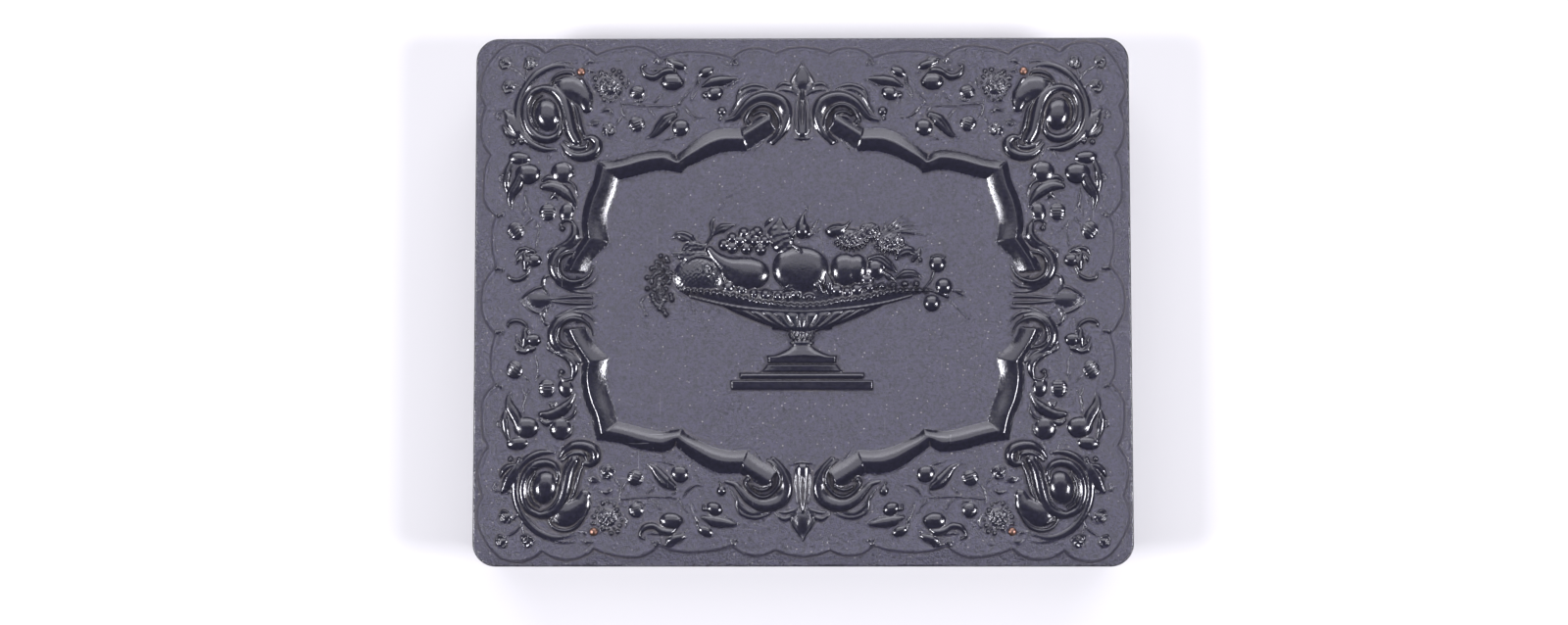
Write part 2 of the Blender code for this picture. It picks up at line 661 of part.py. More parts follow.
def knuckle_rows(in_lid):
    """Keyhole section: the round of a knuckle and the tongue that runs into its strap."""
    low = math.asin((CLEARANCE / 2 + STRAP_THICKNESS) / KNUCKLE_RADIUS)
    high = math.asin(CLEARANCE / 2 / KNUCKLE_RADIUS)
    rows = []
    for step in range(ROUND_SIDES + 1):
        angle = low - math.pi + (math.tau + high - low) * step / ROUND_SIDES
        rows.append((HINGE_AXIS_Y + KNUCKLE_RADIUS * math.cos(angle),
                     MIDDLE + KNUCKLE_RADIUS * math.sin(angle)))
    inner = HINGE_AXIS_Y - KNUCKLE_RADIUS - CLEARANCE - STRAP_THICKNESS
    rows += [(inner, HALF_HEIGHT), (inner, HALF_HEIGHT - STRAP_THICKNESS)]
    return [(y, half_height(z, in_lid)) for y, z in rows]


def hinge_leaf(name, centre, in_lid, finish):
    """Strap with every other knuckle of the hinge on its outer edge."""
    start_inset = KNUCKLE_RADIUS + CLEARANCE - (HINGE_AXIS_Y - CASE_DEPTH / 2)
    leaf = strap(name, centre, HINGE_WIDTH, BACK, in_lid, start_inset, finish)
    pitch = (HINGE_WIDTH + KNUCKLE_GAP) / KNUCKLES
    knuckles = bmesh.new()
    for index in range(1 if in_lid else 0, KNUCKLES, 2):
        low = centre - HINGE_WIDTH / 2 + index * pitch
        prism(knuckles, knuckle_rows(in_lid), low, low + pitch - KNUCKLE_GAP)
    combine(leaf, solid(f"{name}_knuckles", knuckles), 'UNION')
    bore = bmesh.new()
    radius = HINGE_PIN_RADIUS + CLEARANCE
    start = Vector((centre - HINGE_WIDTH / 2 - OVERRUN, HINGE_AXIS_Y, MIDDLE))
    turned(bore, ((radius, 0), (radius, HINGE_WIDTH + 2 * OVERRUN)), start, (1, 0, 0))
    combine(leaf, solid(f"{name}_bore", bore), 'DIFFERENCE')


def hinge_pin(name, centre, finish):
    """Straight pin through one hinge's knuckles."""
    mesh = bmesh.new()
    start = Vector((centre - HINGE_WIDTH / 2, HINGE_AXIS_Y, MIDDLE))
    turned(mesh, ((HINGE_PIN_RADIUS, 0), (HINGE_PIN_RADIUS, HINGE_WIDTH)), start, (1, 0, 0))
    solid(name, mesh, finish)


def rivet(name, centre, side, in_lid, finish):
    """Rivet through one strap, with its domed head outside."""
    ground = 0 if in_lid else FOOT_RECESS
    dome_share, shoulder_share = RIVET_DOME_SHARES
    shank_end = RIVET_HEAD_HEIGHT + CLEARANCE + FLOOR - ground
    profile = (
        (RIVET_HEAD_RADIUS * dome_share, 0),
        (RIVET_HEAD_RADIUS, RIVET_HEAD_HEIGHT * shoulder_share),
        (RIVET_HEAD_RADIUS, RIVET_HEAD_HEIGHT),
        (RIVET_RADIUS, RIVET_HEAD_HEIGHT),
        (RIVET_RADIUS, shank_end),
    )
    height = half_height(ground - CLEARANCE - RIVET_HEAD_HEIGHT, in_lid)
    mesh = bmesh.new()
    start = Vector((centre, side * (CASE_DEPTH / 2 - RIVET_INSET), height))
    turned(mesh, profile, start, (0, 0, -1 if in_lid else 1))
    solid(name, mesh, finish)


def rivets(finish):
    """One rivet for each strap of both halves."""
    for half, in_lid in (("base", False), ("lid", True)):
        for place, spacing, side in (("back", HINGE_SPACING, BACK), ("front", CLASP_SPACING, FRONT)):
            for label, way in (("left", -1), ("right", 1)):
                rivet(f"{half}_rivet_{place}_{label}", way * spacing / 2, side, in_lid, finish)


def clasp_insets():
    """Insets of the tab's outer face, the hook's two faces and the heads' two faces."""
    tab = COVE_DEPTH - CLEARANCE - STRAP_THICKNESS
    hook_back = tab - CLEARANCE
    hook_front = hook_back - HOOK_THICKNESS
    head_back = hook_front - CLEARANCE
    return tab, hook_back, hook_front, head_back, head_back - CLASP_HEAD_HEIGHT


def clasp_height(in_lid):
    """Height of the hook's pivot in the base, or of the stud in the lid."""
    return half_height(HALF_HEIGHT - HOOK_RISE, in_lid)


def clasp_post(mesh, centre, in_lid, radius, head_radius, end_inset):
    """Headed post that stands out of the front at a clasp."""
    head_front = clasp_insets()[4]
    start = Vector((centre, head_front - CASE_DEPTH / 2, clasp_height(in_lid)))
    profile = ((head_radius, 0), (head_radius, CLASP_HEAD_HEIGHT), (radius, CLASP_HEAD_HEIGHT),
               (radius, end_inset - head_front))
    turned(mesh, profile, start, (0, 1, 0))


def hook_plate(name, centre, finish):
    """Front strap of the base, with a hole for the hook's pivot."""
    tab = clasp_insets()[0]
    plate = strap(name, centre, CLASP_WIDTH, FRONT, False, tab, finish, CLASP_TAB_HEIGHT)
    hole = bmesh.new()
    start = Vector((centre, tab - OVERRUN / 2 - CASE_DEPTH / 2, clasp_height(False)))
    radius = PIVOT_RADIUS + CLEARANCE
    turned(hole, ((radius, 0), (radius, STRAP_THICKNESS + OVERRUN)), start, (0, 1, 0))
    combine(plate, solid(f"{name}_hole", hole), 'DIFFERENCE')


def hook_pivot(name, centre, finish):
    """Headed pivot that carries one hook."""
    mesh = bmesh.new()
    end_inset = clasp_insets()[0] + STRAP_THICKNESS
    clasp_post(mesh, centre, False, PIVOT_RADIUS, STUD_HEAD_RADIUS, end_inset)
    solid(name, mesh, finish)


def catch_plate(name, centre, finish):
    """Front strap of the lid, with the headed stud that the hook takes hold of."""
    tab = clasp_insets()[0]
    plate = strap(name, centre, CLASP_WIDTH, FRONT, True, tab, finish, CLASP_TAB_HEIGHT)
    stud = bmesh.new()
    clasp_post(stud, centre, True, STUD_RADIUS, STUD_HEAD_RADIUS, tab + STRAP_THICKNESS / 2)
    combine(plate, solid(f"{name}_stud", stud), 'UNION')


def hook(name, centre, way, finish):
    """Flat hook on its pivot, swung aside so that it points at the case's middle.

    Its slot opens upwards here, and closes on the stud after a quarter turn.
    """
    back, front = (inset - CASE_DEPTH / 2 for inset in clasp_insets()[1:3])
    pivot = Vector((centre, (back + front) / 2, clasp_height(False)))
    length = 2 * (HOOK_RISE + CLEARANCE / 2)
    slot_radius = STUD_RADIUS + HOOK_CLEARANCE
    end_radius = slot_radius + HOOK_EYE_WALL
    eye_radius = PIVOT_RADIUS + CLEARANCE + HOOK_EYE_WALL
    stud = pivot + Vector((way * length, 0, 0))
    bar = bmesh.new()
    loft(bar, [[pivot + Vector((way * along, y - pivot.y, rise)) for along, rise in (
        (0, -HOOK_WIDTH / 2), (length, -HOOK_WIDTH / 2), (length, HOOK_WIDTH / 2), (0, HOOK_WIDTH / 2))]
        for y in (front, back)])
    made = solid(name, bar, finish, pivot)
    ends = bmesh.new()
    for middle, radius in ((pivot, eye_radius), (stud, end_radius)):
        turned(ends, ((radius, 0), (radius, back - front)), Vector((middle.x, front, middle.z)), (0, 1, 0))
    combine(made, solid(f"{name}_ends", ends), 'UNION')
    holes = bmesh.new()
    depth = back - front + 2 * OVERRUN
    for middle, radius in ((pivot, PIVOT_RADIUS + CLEARANCE), (stud, slot_radius)):
        start = Vector((middle.x, front - OVERRUN, middle.z))
        turned(holes, ((radius, 0), (radius, depth)), start, (0, 1, 0))
    combine(made, solid(f"{name}_holes", holes), 'DIFFERENCE')
    mouth = bmesh.new()
    loft(mouth, [[Vector((stud.x + across, y, stud.z + rise)) for across, rise in (
        (-slot_radius, 0), (slot_radius, 0), (slot_radius, end_radius + OVERRUN),
        (-slot_radius, end_radius + OVERRUN))] for y in (front - OVERRUN, back + OVERRUN)])
    combine(made, solid(f"{name}_mouth", mouth), 'DIFFERENCE')


def brass_mat(low, finish):
    """Thin mat with an oval window."""
    mat = slab("brass_mat", PLATE_INSET, low, MAT_THICKNESS, finish)
    half_length = (CASE_LENGTH / 2 - PLATE_INSET) * MAT_WINDOW_SHARE
    half_depth = (CASE_DEPTH / 2 - PLATE_INSET) * MAT_WINDOW_SHARE
    rings = []
    for height in (low - OVERRUN, low + MAT_THICKNESS + OVERRUN):
        ring = []
        for step in range(WINDOW_STEPS):
            angle = math.tau * step / WINDOW_STEPS
            ring.append(Vector((half_length * math.cos(angle), half_depth * math.sin(angle), height)))
        rings.append(ring)
    window = bmesh.new()
    loft(window, rings)
    combine(mat, solid("brass_mat_window", window), 'DIFFERENCE')


def preserver(low, high, finish):
    """Foil frame that wraps the stack: a skirt round its edges and a flange on the glass."""
    skirt = STACK_INSET + PRESERVER_THICKNESS
    flange = skirt + PRESERVER_FLANGE
    top = high + PRESERVER_THICKNESS
    rows = ((STACK_INSET, low), (STACK_INSET, top), (flange, top),
            (flange, high), (skirt, high), (skirt, low))
    solid("preserver", lofted_outlines(rows, closed=True), finish)


def picture_stack():
    """Everything that lies in the base, from the packing card to the preserver."""
    card = material("packing_card", (0.42, 0.34, 0.24), 0.9)
    silver = material("image_plate", (0.78, 0.78, 0.8), 0.12, 1.0)
    brass = material("mat_brass", (0.72, 0.52, 0.22), 0.35, 1.0)
    glass = material("cover_glass", (0.95, 0.97, 0.96), 0.03, 0.0, 0.95)
    foil = material("preserver_brass", (0.76, 0.57, 0.26), 0.3, 1.0)
    lining = material("retainer_velvet", (0.2, 0.02, 0.035), 0.9)
    height = FLOOR + CLEARANCE
    slab("packing_card", STACK_INSET, height, CARD_THICKNESS, card)
    height += CARD_THICKNESS + CLEARANCE
    skirt_foot = height
    slab("image_plate", PLATE_INSET, height, PLATE_THICKNESS, silver)
    height += PLATE_THICKNESS + CLEARANCE
    brass_mat(height, brass)
    height += MAT_THICKNESS + CLEARANCE
    slab("cover_glass", PLATE_INSET, height, GLASS_THICKNESS, glass)
    height += GLASS_THICKNESS + CLEARANCE
    preserver(skirt_foot, height, foil)
    inner = RETAINER_INSET + RETAINER_THICKNESS
    low, high = FLOOR + CLEARANCE, HALF_HEIGHT - RETAINER_DROP
    rows = ((RETAINER_INSET, low), (RETAINER_INSET, high), (inner, high), (inner, low))
    solid("retainer_strip", lofted_outlines(rows, closed=True), lining)


def pad_surface(across, along, back):
    """Point of the pad's crowned face, from shares of its half length and half depth."""
    half_length = CASE_LENGTH / 2 - RETAINER_INSET
    half_depth = CASE_DEPTH / 2 - RETAINER_INSET
    corner = PAD_CORNER_SHARE * INNER_RADIUS * abs(across * along) ** 12
    x = across * (half_length - corner - PAD_DRAW * (1 - along ** 4) * abs(across))
    y = along * (half_depth - corner - PAD_DRAW * (1 - across ** 4) * abs(along))
    crown = (1 - across ** 6) * (1 - along ** 6)
    depth = PAD_EDGE_THICKNESS + (PAD_THICKNESS - PAD_EDGE_THICKNESS) * crown ** 0.5
    if abs(max(abs(across), abs(along)) - CHANNEL_SHARE) < 0.01:
        depth -= PAD_CHANNEL
    return Vector((x, y, back - depth))


def velvet_pad(back, finish):
    """Cushion with its crown towards the picture and sides that draw in between the corners."""
    lines = [-share for share in reversed(PAD_GRID_SHARES[1:])] + list(PAD_GRID_SHARES)
    mesh = bmesh.new()
    grid = [[mesh.verts.new(pad_surface(across, along, back)) for across in lines] for along in lines]
    last = len(lines) - 1
    for row in range(last):
        for column in range(last):
            low, high = grid[row], grid[row + 1]
            mesh.faces.new((low[column], low[column + 1], high[column + 1], high[column]))
    border = (grid[0][:-1] + [row[-1] for row in grid[:-1]] + grid[-1][:0:-1]
              + [row[0] for row in grid[:0:-1]])
    lift = [mesh.verts.new((corner.co.x, corner.co.y, back)) for corner in border]
    for index, corner in enumerate(border):
        following = (index + 1) % len(border)
        mesh.faces.new((corner, border[following], lift[following], lift[index]))
    mesh.faces.new(lift)
    solid("velvet_pad", mesh, finish)


def lid_lining():
    """Board and pad under the lid's ceiling."""
    board = material("pad_board", (0.45, 0.38, 0.28), 0.9)
    velvet = material("pad_velvet", (0.22, 0.02, 0.04), 0.95)
    ceiling = half_height(FLOOR, True)
    low = ceiling - CLEARANCE - CARD_THICKNESS
    slab("pad_board", RETAINER_INSET, low, CARD_THICKNESS, board)
    velvet_pad(low - CLEARANCE, velvet)


def hinges(base, lid, brass):
    """Both hinges and their seats."""
    for label, way in (("left", -1), ("right", 1)):
        centre = way * HINGE_SPACING / 2
        hinge_leaf(f"base_hinge_leaf_{label}", centre, False, brass)
        hinge_leaf(f"lid_hinge_leaf_{label}", centre, True, brass)
        hinge_pin(f"hinge_pin_{label}", centre, brass)
        cut_strap_seat(base, centre, HINGE_WIDTH, BACK, False)
        cut_strap_seat(lid, centre, HINGE_WIDTH, BACK, True)


def clasps(base, lid, brass):
    """Both hook clasps and their seats."""
    for label, way in (("left", -1), ("right", 1)):
        centre = way * CLASP_SPACING / 2
        hook_plate(f"hook_plate_{label}", centre, brass)
        hook_pivot(f"hook_pivot_{label}", centre, brass)
        hook(f"hook_{label}", centre, -way, brass)
        catch_plate(f"catch_plate_{label}", centre, brass)
        cut_strap_seat(base, centre, CLASP_WIDTH, FRONT, False, CLASP_TAB_HEIGHT)
        cut_strap_seat(lid, centre, CLASP_WIDTH, FRONT, True, CLASP_TAB_HEIGHT)


def main():
    """Build the case from its halves inwards."""
    moulding = material("moulded_black", (0.03, 0.03, 0.036), 0.3)
    brass = material("aged_brass", (0.46, 0.31, 0.12), 0.42, 1.0)
    copper = material("rivet_copper", (0.52, 0.3, 0.16), 0.4, 1.0)
    base = solid("base_shell", lofted_outlines(base_profile()), moulding)
    lid = solid("lid_shell", lofted_outlines(lid_profile()), moulding)
    for tool in relief_solids():
        combine(lid, tool, 'UNION')
    hinges(base, lid, brass)
    clasps(base, lid, brass)
    rivets(copper)
    picture_stack()
    lid_lining()


main()
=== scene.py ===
"""Dresses the moulded half-plate case: carved lid, lining, picture under glass, brass hinges and hooks."""
from __future__ import annotations

import logging
from dataclasses import dataclass
from enum import Enum
from functools import cache
from typing import Any, Sequence

import bpy
import bmesh
import numpy as np
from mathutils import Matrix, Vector


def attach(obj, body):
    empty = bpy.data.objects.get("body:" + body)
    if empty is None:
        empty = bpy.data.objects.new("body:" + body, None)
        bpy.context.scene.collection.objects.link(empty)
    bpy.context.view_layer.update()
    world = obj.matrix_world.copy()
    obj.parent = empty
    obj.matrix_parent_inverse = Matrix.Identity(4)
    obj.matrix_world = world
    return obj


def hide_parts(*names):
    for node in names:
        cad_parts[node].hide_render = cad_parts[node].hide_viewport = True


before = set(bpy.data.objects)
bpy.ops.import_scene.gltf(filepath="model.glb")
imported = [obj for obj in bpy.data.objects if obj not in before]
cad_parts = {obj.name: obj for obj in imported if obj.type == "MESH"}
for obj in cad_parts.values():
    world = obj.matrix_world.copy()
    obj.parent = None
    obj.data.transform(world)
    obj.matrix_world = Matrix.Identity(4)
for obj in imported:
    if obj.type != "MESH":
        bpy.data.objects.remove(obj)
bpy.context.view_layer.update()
log = logging.getLogger("case")

Array = np.ndarray
Point = tuple[float, float]
Colour = tuple[float, float, float]
MM = 0.001  # metres in one mm


# Shader maths


class Wire:
    """One value or colour inside a material, on which sums are written as plain Python."""

    def __init__(self, tree: "Tree", socket: Any) -> None:
        """Keeps the tree and the socket that the value comes out of."""
        self.tree, self.socket = tree, socket

    def maths(self, operation: str, *others: Any, first: bool = True) -> "Wire":
        """Adds a Math node.

        Args:
            operation: the Math node's operation.
            others: numbers or wires for its other inputs.
            first: whether this wire is the first input.

        Returns:
            The node's result.
        """
        values = (self, *others) if first else (*others, self)
        return self.tree.make("ShaderNodeMath", {"operation": operation}, dict(enumerate(values)))

    def __add__(self, other: Any) -> "Wire":
        """Sum."""
        return self.maths("ADD", other)

    __radd__ = __add__

    def __sub__(self, other: Any) -> "Wire":
        """Difference."""
        return self.maths("SUBTRACT", other)

    def __rsub__(self, other: Any) -> "Wire":
        """Difference from a number."""
        return self.maths("SUBTRACT", other, first=False)

    def __mul__(self, other: Any) -> "Wire":
        """Product."""
        return self.maths("MULTIPLY", other)

    __rmul__ = __mul__

    def __truediv__(self, other: Any) -> "Wire":
        """Quotient."""
        return self.maths("DIVIDE", other)

    def __pow__(self, other: Any) -> "Wire":
        """Power."""
        return self.maths("POWER", other)

    def ramp(self, low: float, high: float, start: float = 0.0, end: float = 1.0) -> "Wire":
        """Maps low..high to start..end on a smooth step, and holds it there outside."""
        sockets = {"Value": self, "From Min": low, "From Max": high, "To Min": start, "To Max": end}
        return self.tree.make("ShaderNodeMapRange", {"interpolation_type": "SMOOTHSTEP"}, sockets)

    def blend(self, low: Any, high: Any) -> "Wire":
        """Blends two colours, low where this wire is 0 and high where it is 1."""
        return self.tree.make("ShaderNodeMix", {"data_type": "RGBA"}, {0: self, 6: low, 7: high}, 2)


class Tree:
    """A material being built: its nodes, its Principled shader and the sockets that feed it."""

    def __init__(self, name: str) -> None:
        """Starts a material with an empty tree, a Principled shader and an output.

        Args:
            name: the material's name.
        """
        self.material = bpy.data.materials.new(name)
        self.material.use_nodes = True
        self.nodes, self.links = self.material.node_tree.nodes, self.material.node_tree.links
        self.nodes.clear()
        self.shader = self.nodes.new("ShaderNodeBsdfPrincipled")
        self.output = self.nodes.new("ShaderNodeOutputMaterial")
        self.links.new(self.shader.outputs[0], self.output.inputs[0])

    def put(self, socket: Any, value: Any) -> None:
        """Sets a socket to a number or colour, or links a wire to it.

        Args:
            socket: the input.
            value: a number, a colour or a wire.
        """
        if isinstance(value, Wire):
            self.links.new(value.socket, socket)
        elif isinstance(value, tuple) and len(value) == 3 and len(socket.default_value) == 4:
            socket.default_value = (*value, 1.0)
        else:
            socket.default_value = value

    def make(self, kind: str, settings: dict[str, Any] | None = None, inputs: dict[Any, Any] | None = None,
             out: Any = 0) -> Wire:
        """Adds any node.

        Args:
            kind: the node's type.
            settings: its settings, set first.
            inputs: values or wires for its sockets, by name or number.
            out: the output wanted, by name or number.

        Returns:
            That output.
        """
        node = self.nodes.new(kind)
        for name, value in (settings or {}).items():
            setattr(node, name, value)
        for name, value in (inputs or {}).items():
            self.put(node.inputs[name], value)
        return Wire(self, node.outputs[out])

    def place(self, scale: float | tuple[float, float, float] = 1.0,
              turn: tuple[float, float, float] = (0, 0, 0)) -> Wire:
        """Object coordinates in mm, times scale and turned.

        Args:
            scale: one factor, or one for each axis.
            turn: radians about each axis.

        Returns:
            The place.
        """
        size = (scale,) * 3 if isinstance(scale, (int, float)) else scale
        coordinates = self.make("ShaderNodeTexCoord", out="Object")
        sockets = {"Vector": coordinates, "Scale": tuple(1000 * s for s in size), "Rotation": turn}
        return self.make("ShaderNodeMapping", {}, sockets)

    def noise(self, scale: float, detail: float = 3.0, rough: float = 0.5, at: Wire | None = None) -> Wire:
        """Noise with scale waves per mm."""
        sockets = {"Vector": at or self.place(), "Scale": scale, "Detail": detail, "Roughness": rough}
        return self.make("ShaderNodeTexNoise", {}, sockets)

    def cells(self, scale: float, feature: str = "F1", at: Wire | None = None) -> Wire:
        """Distance in a Voronoi pattern with scale cells per mm."""
        sockets = {"Vector": at or self.place(), "Scale": scale}
        return self.make("ShaderNodeTexVoronoi", {"feature": feature}, sockets, "Distance")

    def attribute(self, name: str) -> Wire:
        """A value that the mesh holds at its points."""
        return self.make("ShaderNodeAttribute", {"attribute_name": name}, out="Fac")

    def split(self, vector: Wire) -> tuple[Wire, Wire, Wire]:
        """Takes a place apart into its three coordinates."""
        return tuple(self.make("ShaderNodeSeparateXYZ", {}, {0: vector}, axis) for axis in range(3))

    def bump(self, height: Wire, depth: float) -> Wire:
        """A Bump node whose height 0..1 stands for depth mm."""
        return self.make("ShaderNodeBump", {}, {"Height": height, "Distance": depth * MM, "Strength": 1.0})

    def finish(self, **sockets: Any) -> bpy.types.Material:
        """Feeds the Principled shader's sockets, named with _ for a space, and hands over the material.

        Args:
            sockets: for each socket a number, a colour or a wire.

        Returns:
            The material.
        """
        for name, value in sockets.items():
            self.put(self.shader.inputs[name.replace("_", " ")], value)
        return self.material


# Finishes


def shade(colour: Colour, share: float) -> Colour:
    """Makes a colour darker or lighter by a share."""
    return tuple(share * c for c in colour)


@dataclass(frozen=True)
class MouldedBlack:
    """Black moulded case stock: matt ground, worn gloss on what stands up with painted shade darkening its
    colour, dust in what lies deep.
    """

    name: str = "moulded_black"
    ground: Colour = (0.019, 0.0175, 0.036)
    carved: bool = True
    polished_with_painted_shade: Colour = (0.011, 0.011, 0.016)
    dust: Colour = (0.075, 0.067, 0.064)
    speck: Colour = (0.36, 0.34, 0.32)
    scratch: Colour = (0.20, 0.20, 0.21)
    matt: float = 0.38
    gloss: float = 0.145
    grain_depth: float = 0.13

    def scratches(self, t: Tree) -> Wire:
        """Draws two sets of fine scratches: noise stretched 30 times, cut off near its top, in patches.

        Args:
            t: the material being built.

        Returns:
            1 in a scratch, 0 beside it.
        """
        first = t.noise(1.0, 2, 0.5, t.place((0.07, 2.4, 1), (0, 0, 0.7))).ramp(0.71, 0.75)
        second = t.noise(1.0, 2, 0.5, t.place((1.9, 0.06, 1), (0, 0, 0.25))).ramp(0.72, 0.76)
        return (first + second) * t.noise(0.05, 2).ramp(0.52, 0.64)

    def material(self) -> bpy.types.Material:
        """Builds the material; the carving's height and hollows come from the mesh where it is carved.

        Returns:
            The material.
        """
        t = Tree(self.name)
        grain = t.noise(3.2, 4, 0.65)
        pebble = t.noise(1.5, 3, 0.75).ramp(0.34, 0.66)
        cloud = t.noise(0.06, 3, 0.55)
        specks = t.cells(0.62).ramp(0.05, 0.16, 1.0, 0.0) * grain.ramp(0.45, 0.58)
        lines = self.scratches(t)
        if self.carved:
            high, hollow = t.attribute("relief"), t.attribute("hollow")
        else:
            high, hollow = cloud.ramp(0.1, 0.8, 0.10, 0.45), cloud * 0.0
        gloss = high.ramp(0.05, 0.55)
        flat = 1 - gloss
        worn = t.noise(0.9, 4, 0.6).ramp(0.42, 0.68)
        colour = pebble.blend(shade(self.ground, 0.5), shade(self.ground, 1.9))
        # painted shade: the raised relief is coloured darker where it is glossy, standing in for the dark
        # room that it reflects; only its gloss, through the roughness, is real rubbing
        colour = (gloss * 0.75).blend(colour, self.polished_with_painted_shade)
        colour = (hollow.ramp(0.03, 0.16) * cloud.ramp(0.35, 0.7, 0.1, 0.5)).blend(colour, self.dust)
        colour = (specks * flat * 0.9).blend(colour, self.speck)
        colour = (lines * 0.5).blend(colour, self.scratch)
        rough = gloss.ramp(0, 1, self.matt, self.gloss) + (pebble - 0.5) * flat * 0.17
        rough = rough + hollow.ramp(0.02, 0.2, 0, 0.10) + lines * 0.08 + worn * gloss * 0.08
        height = (grain * 0.5 + pebble * 0.9 - lines * 0.2) * (1 - gloss * 0.93)
        return t.finish(Base_Color=colour, Roughness=rough, Normal=t.bump(height, self.grain_depth), IOR=1.7)


PLAIN_BLACK = MouldedBlack("moulded_black_plain", (0.022, 0.021, 0.034), False)


@dataclass(frozen=True)
class AgedBrass:
    """Rolled brass gone brown: yellow where it is rubbed, brown and dull where it is not."""

    name: str = "aged_brass"
    bright: Colour = (0.60, 0.40, 0.17)
    dull: Colour = (0.21, 0.125, 0.055)
    roughness: float = 0.34
    pit: Colour = (0.055, 0.035, 0.02)
    grain: float = 6.0
    shift: float = 0.0

    def material(self) -> bpy.types.Material:
        """Builds the material.

        Returns:
            The material.
        """
        t = Tree(self.name)
        cloud = t.noise(0.55, 5, 0.62)
        brushed = t.noise(1.0, 3, 0.6, t.place((0.7, self.grain, self.grain)))
        pits = t.cells(1.4).ramp(0.03, 0.12, 1.0, 0.0) * t.noise(0.8, 2).ramp(0.5, 0.62)
        tone = (cloud * 0.8 + brushed * 0.25 + self.shift).ramp(0.36, 0.68)
        colour = pits.blend(tone.blend(self.dull, self.bright), self.pit)
        rough = self.roughness + (1 - tone) * 0.18 + (brushed - 0.5) * 0.15 + pits * 0.2
        bump = t.bump(brushed * 0.5 + cloud * 0.5 - pits * 0.5, 0.02)
        return t.finish(Base_Color=colour, Roughness=rough, Metallic=1 - pits * 0.5, Normal=bump)


RUBBED_BRASS = AgedBrass("rubbed_brass", roughness=0.27, shift=0.06)


@dataclass(frozen=True)
class RivetCopper:
    """Copper rivets gone brown, with a rubbed crown."""

    name: str = "rivet_copper"
    bright: Colour = (0.32, 0.19, 0.145)
    dull: Colour = (0.12, 0.066, 0.055)

    def material(self) -> bpy.types.Material:
        """Builds the material.

        Returns:
            The material.
        """
        t = Tree(self.name)
        cloud = t.noise(1.6, 4, 0.6)
        tone = cloud.ramp(0.38, 0.64)
        dents = t.cells(1.9, "SMOOTH_F1")
        colour = tone.blend(self.dull, self.bright)
        bump = t.bump(dents * 0.7 + cloud * 0.5, 0.06)
        return t.finish(Base_Color=colour, Roughness=tone.ramp(0, 1, 0.5, 0.3), Metallic=1.0, Normal=bump)


@dataclass(frozen=True)
class PressedBrass:
    """Gilt pressed brass: bright, pebbled, with brown bloom in patches."""

    name: str = "mat_brass"
    bright: Colour = (0.56, 0.39, 0.165)
    roughness: float = 0.30
    brown: Colour = (0.42, 0.23, 0.10)
    spot: Colour = (0.10, 0.07, 0.05)

    def material(self) -> bpy.types.Material:
        """Builds the material.

        Returns:
            The material.
        """
        t = Tree(self.name)
        pebble = t.cells(2.6, "SMOOTH_F1")
        cloud = t.noise(0.12, 4, 0.6)
        bloom = cloud.ramp(0.52, 0.72)
        spots = t.cells(0.32).ramp(0.02, 0.07, 1.0, 0.0) * t.noise(0.9, 3).ramp(0.5, 0.6)
        colour = (spots * 0.8).blend((bloom * 0.6).blend(self.bright, self.brown), self.spot)
        rough = self.roughness + bloom * 0.16 + spots * 0.3 + pebble * 0.1
        return t.finish(Base_Color=colour, Roughness=rough, Metallic=1.0, Normal=t.bump(pebble, 0.05))


@dataclass(frozen=True)
class SilveredPlate:
    """Polished silver with tarnish that comes in from the mat: straw, then brown, then blue."""

    name: str = "silvered_plate"
    window: tuple[float, float] = (51.8, 40.6)
    silver: Colour = (0.40, 0.41, 0.42)
    straw: Colour = (0.42, 0.35, 0.22)
    brown: Colour = (0.42, 0.22, 0.13)
    blue: Colour = (0.13, 0.17, 0.27)
    fleck: Colour = (0.2, 0.19, 0.18)

    def material(self) -> bpy.types.Material:
        """Builds the material; the tarnish follows the oval's edge and wanders with noise.

        Returns:
            The material.
        """
        t = Tree(self.name)
        x, y, _ = t.split(t.place())
        away = ((x / self.window[0]) ** 2 + (y / self.window[1]) ** 2) ** 0.5
        away = away + (t.noise(0.09, 4, 0.6) - 0.5) * 0.16
        straw, brown, blue = away.ramp(0.72, 0.88), away.ramp(0.86, 0.95), away.ramp(0.94, 1.02)
        colour = straw.blend(self.silver, self.straw)
        colour = blue.blend((brown * 0.9).blend(colour, self.brown), self.blue)
        buff = t.noise(1.0, 3, 0.6, t.place((0.04, 6, 1)))
        flecks = t.cells(0.5).ramp(0.01, 0.04, 1.0, 0.0) * t.noise(0.5, 2).ramp(0.52, 0.6)
        rough = 0.24 + (buff - 0.5) * 0.12 + away.ramp(0.8, 1, 0, 0.15) + flecks * 0.3
        colour = (flecks * 0.7).blend(colour, self.fleck)
        return t.finish(Base_Color=colour, Roughness=rough, Metallic=1.0, Normal=t.bump(buff, 0.004))


@dataclass(frozen=True)
class CoverGlass:
    """Thin old glass, faintly green, with dust and wipe marks."""

    name: str = "cover_glass"
    tint: Colour = (0.965, 0.985, 0.97)

    def material(self) -> bpy.types.Material:
        """Builds the material.

        Returns:
            The material.
        """
        t = Tree(self.name)
        dust = t.cells(0.45).ramp(0.015, 0.05, 1.0, 0.0) * t.noise(0.3, 2).ramp(0.5, 0.6)
        wipes = t.noise(1.0, 3, 0.6, t.place((0.03, 0.5, 1), (0, 0, 0.6))).ramp(0.55, 0.8)
        rough, bump = wipes * 0.06 + dust * 0.4, t.bump(t.noise(0.02, 2), 0.05)
        return t.finish(Base_Color=self.tint, Roughness=rough, Transmission_Weight=1.0, IOR=1.5, Normal=bump)


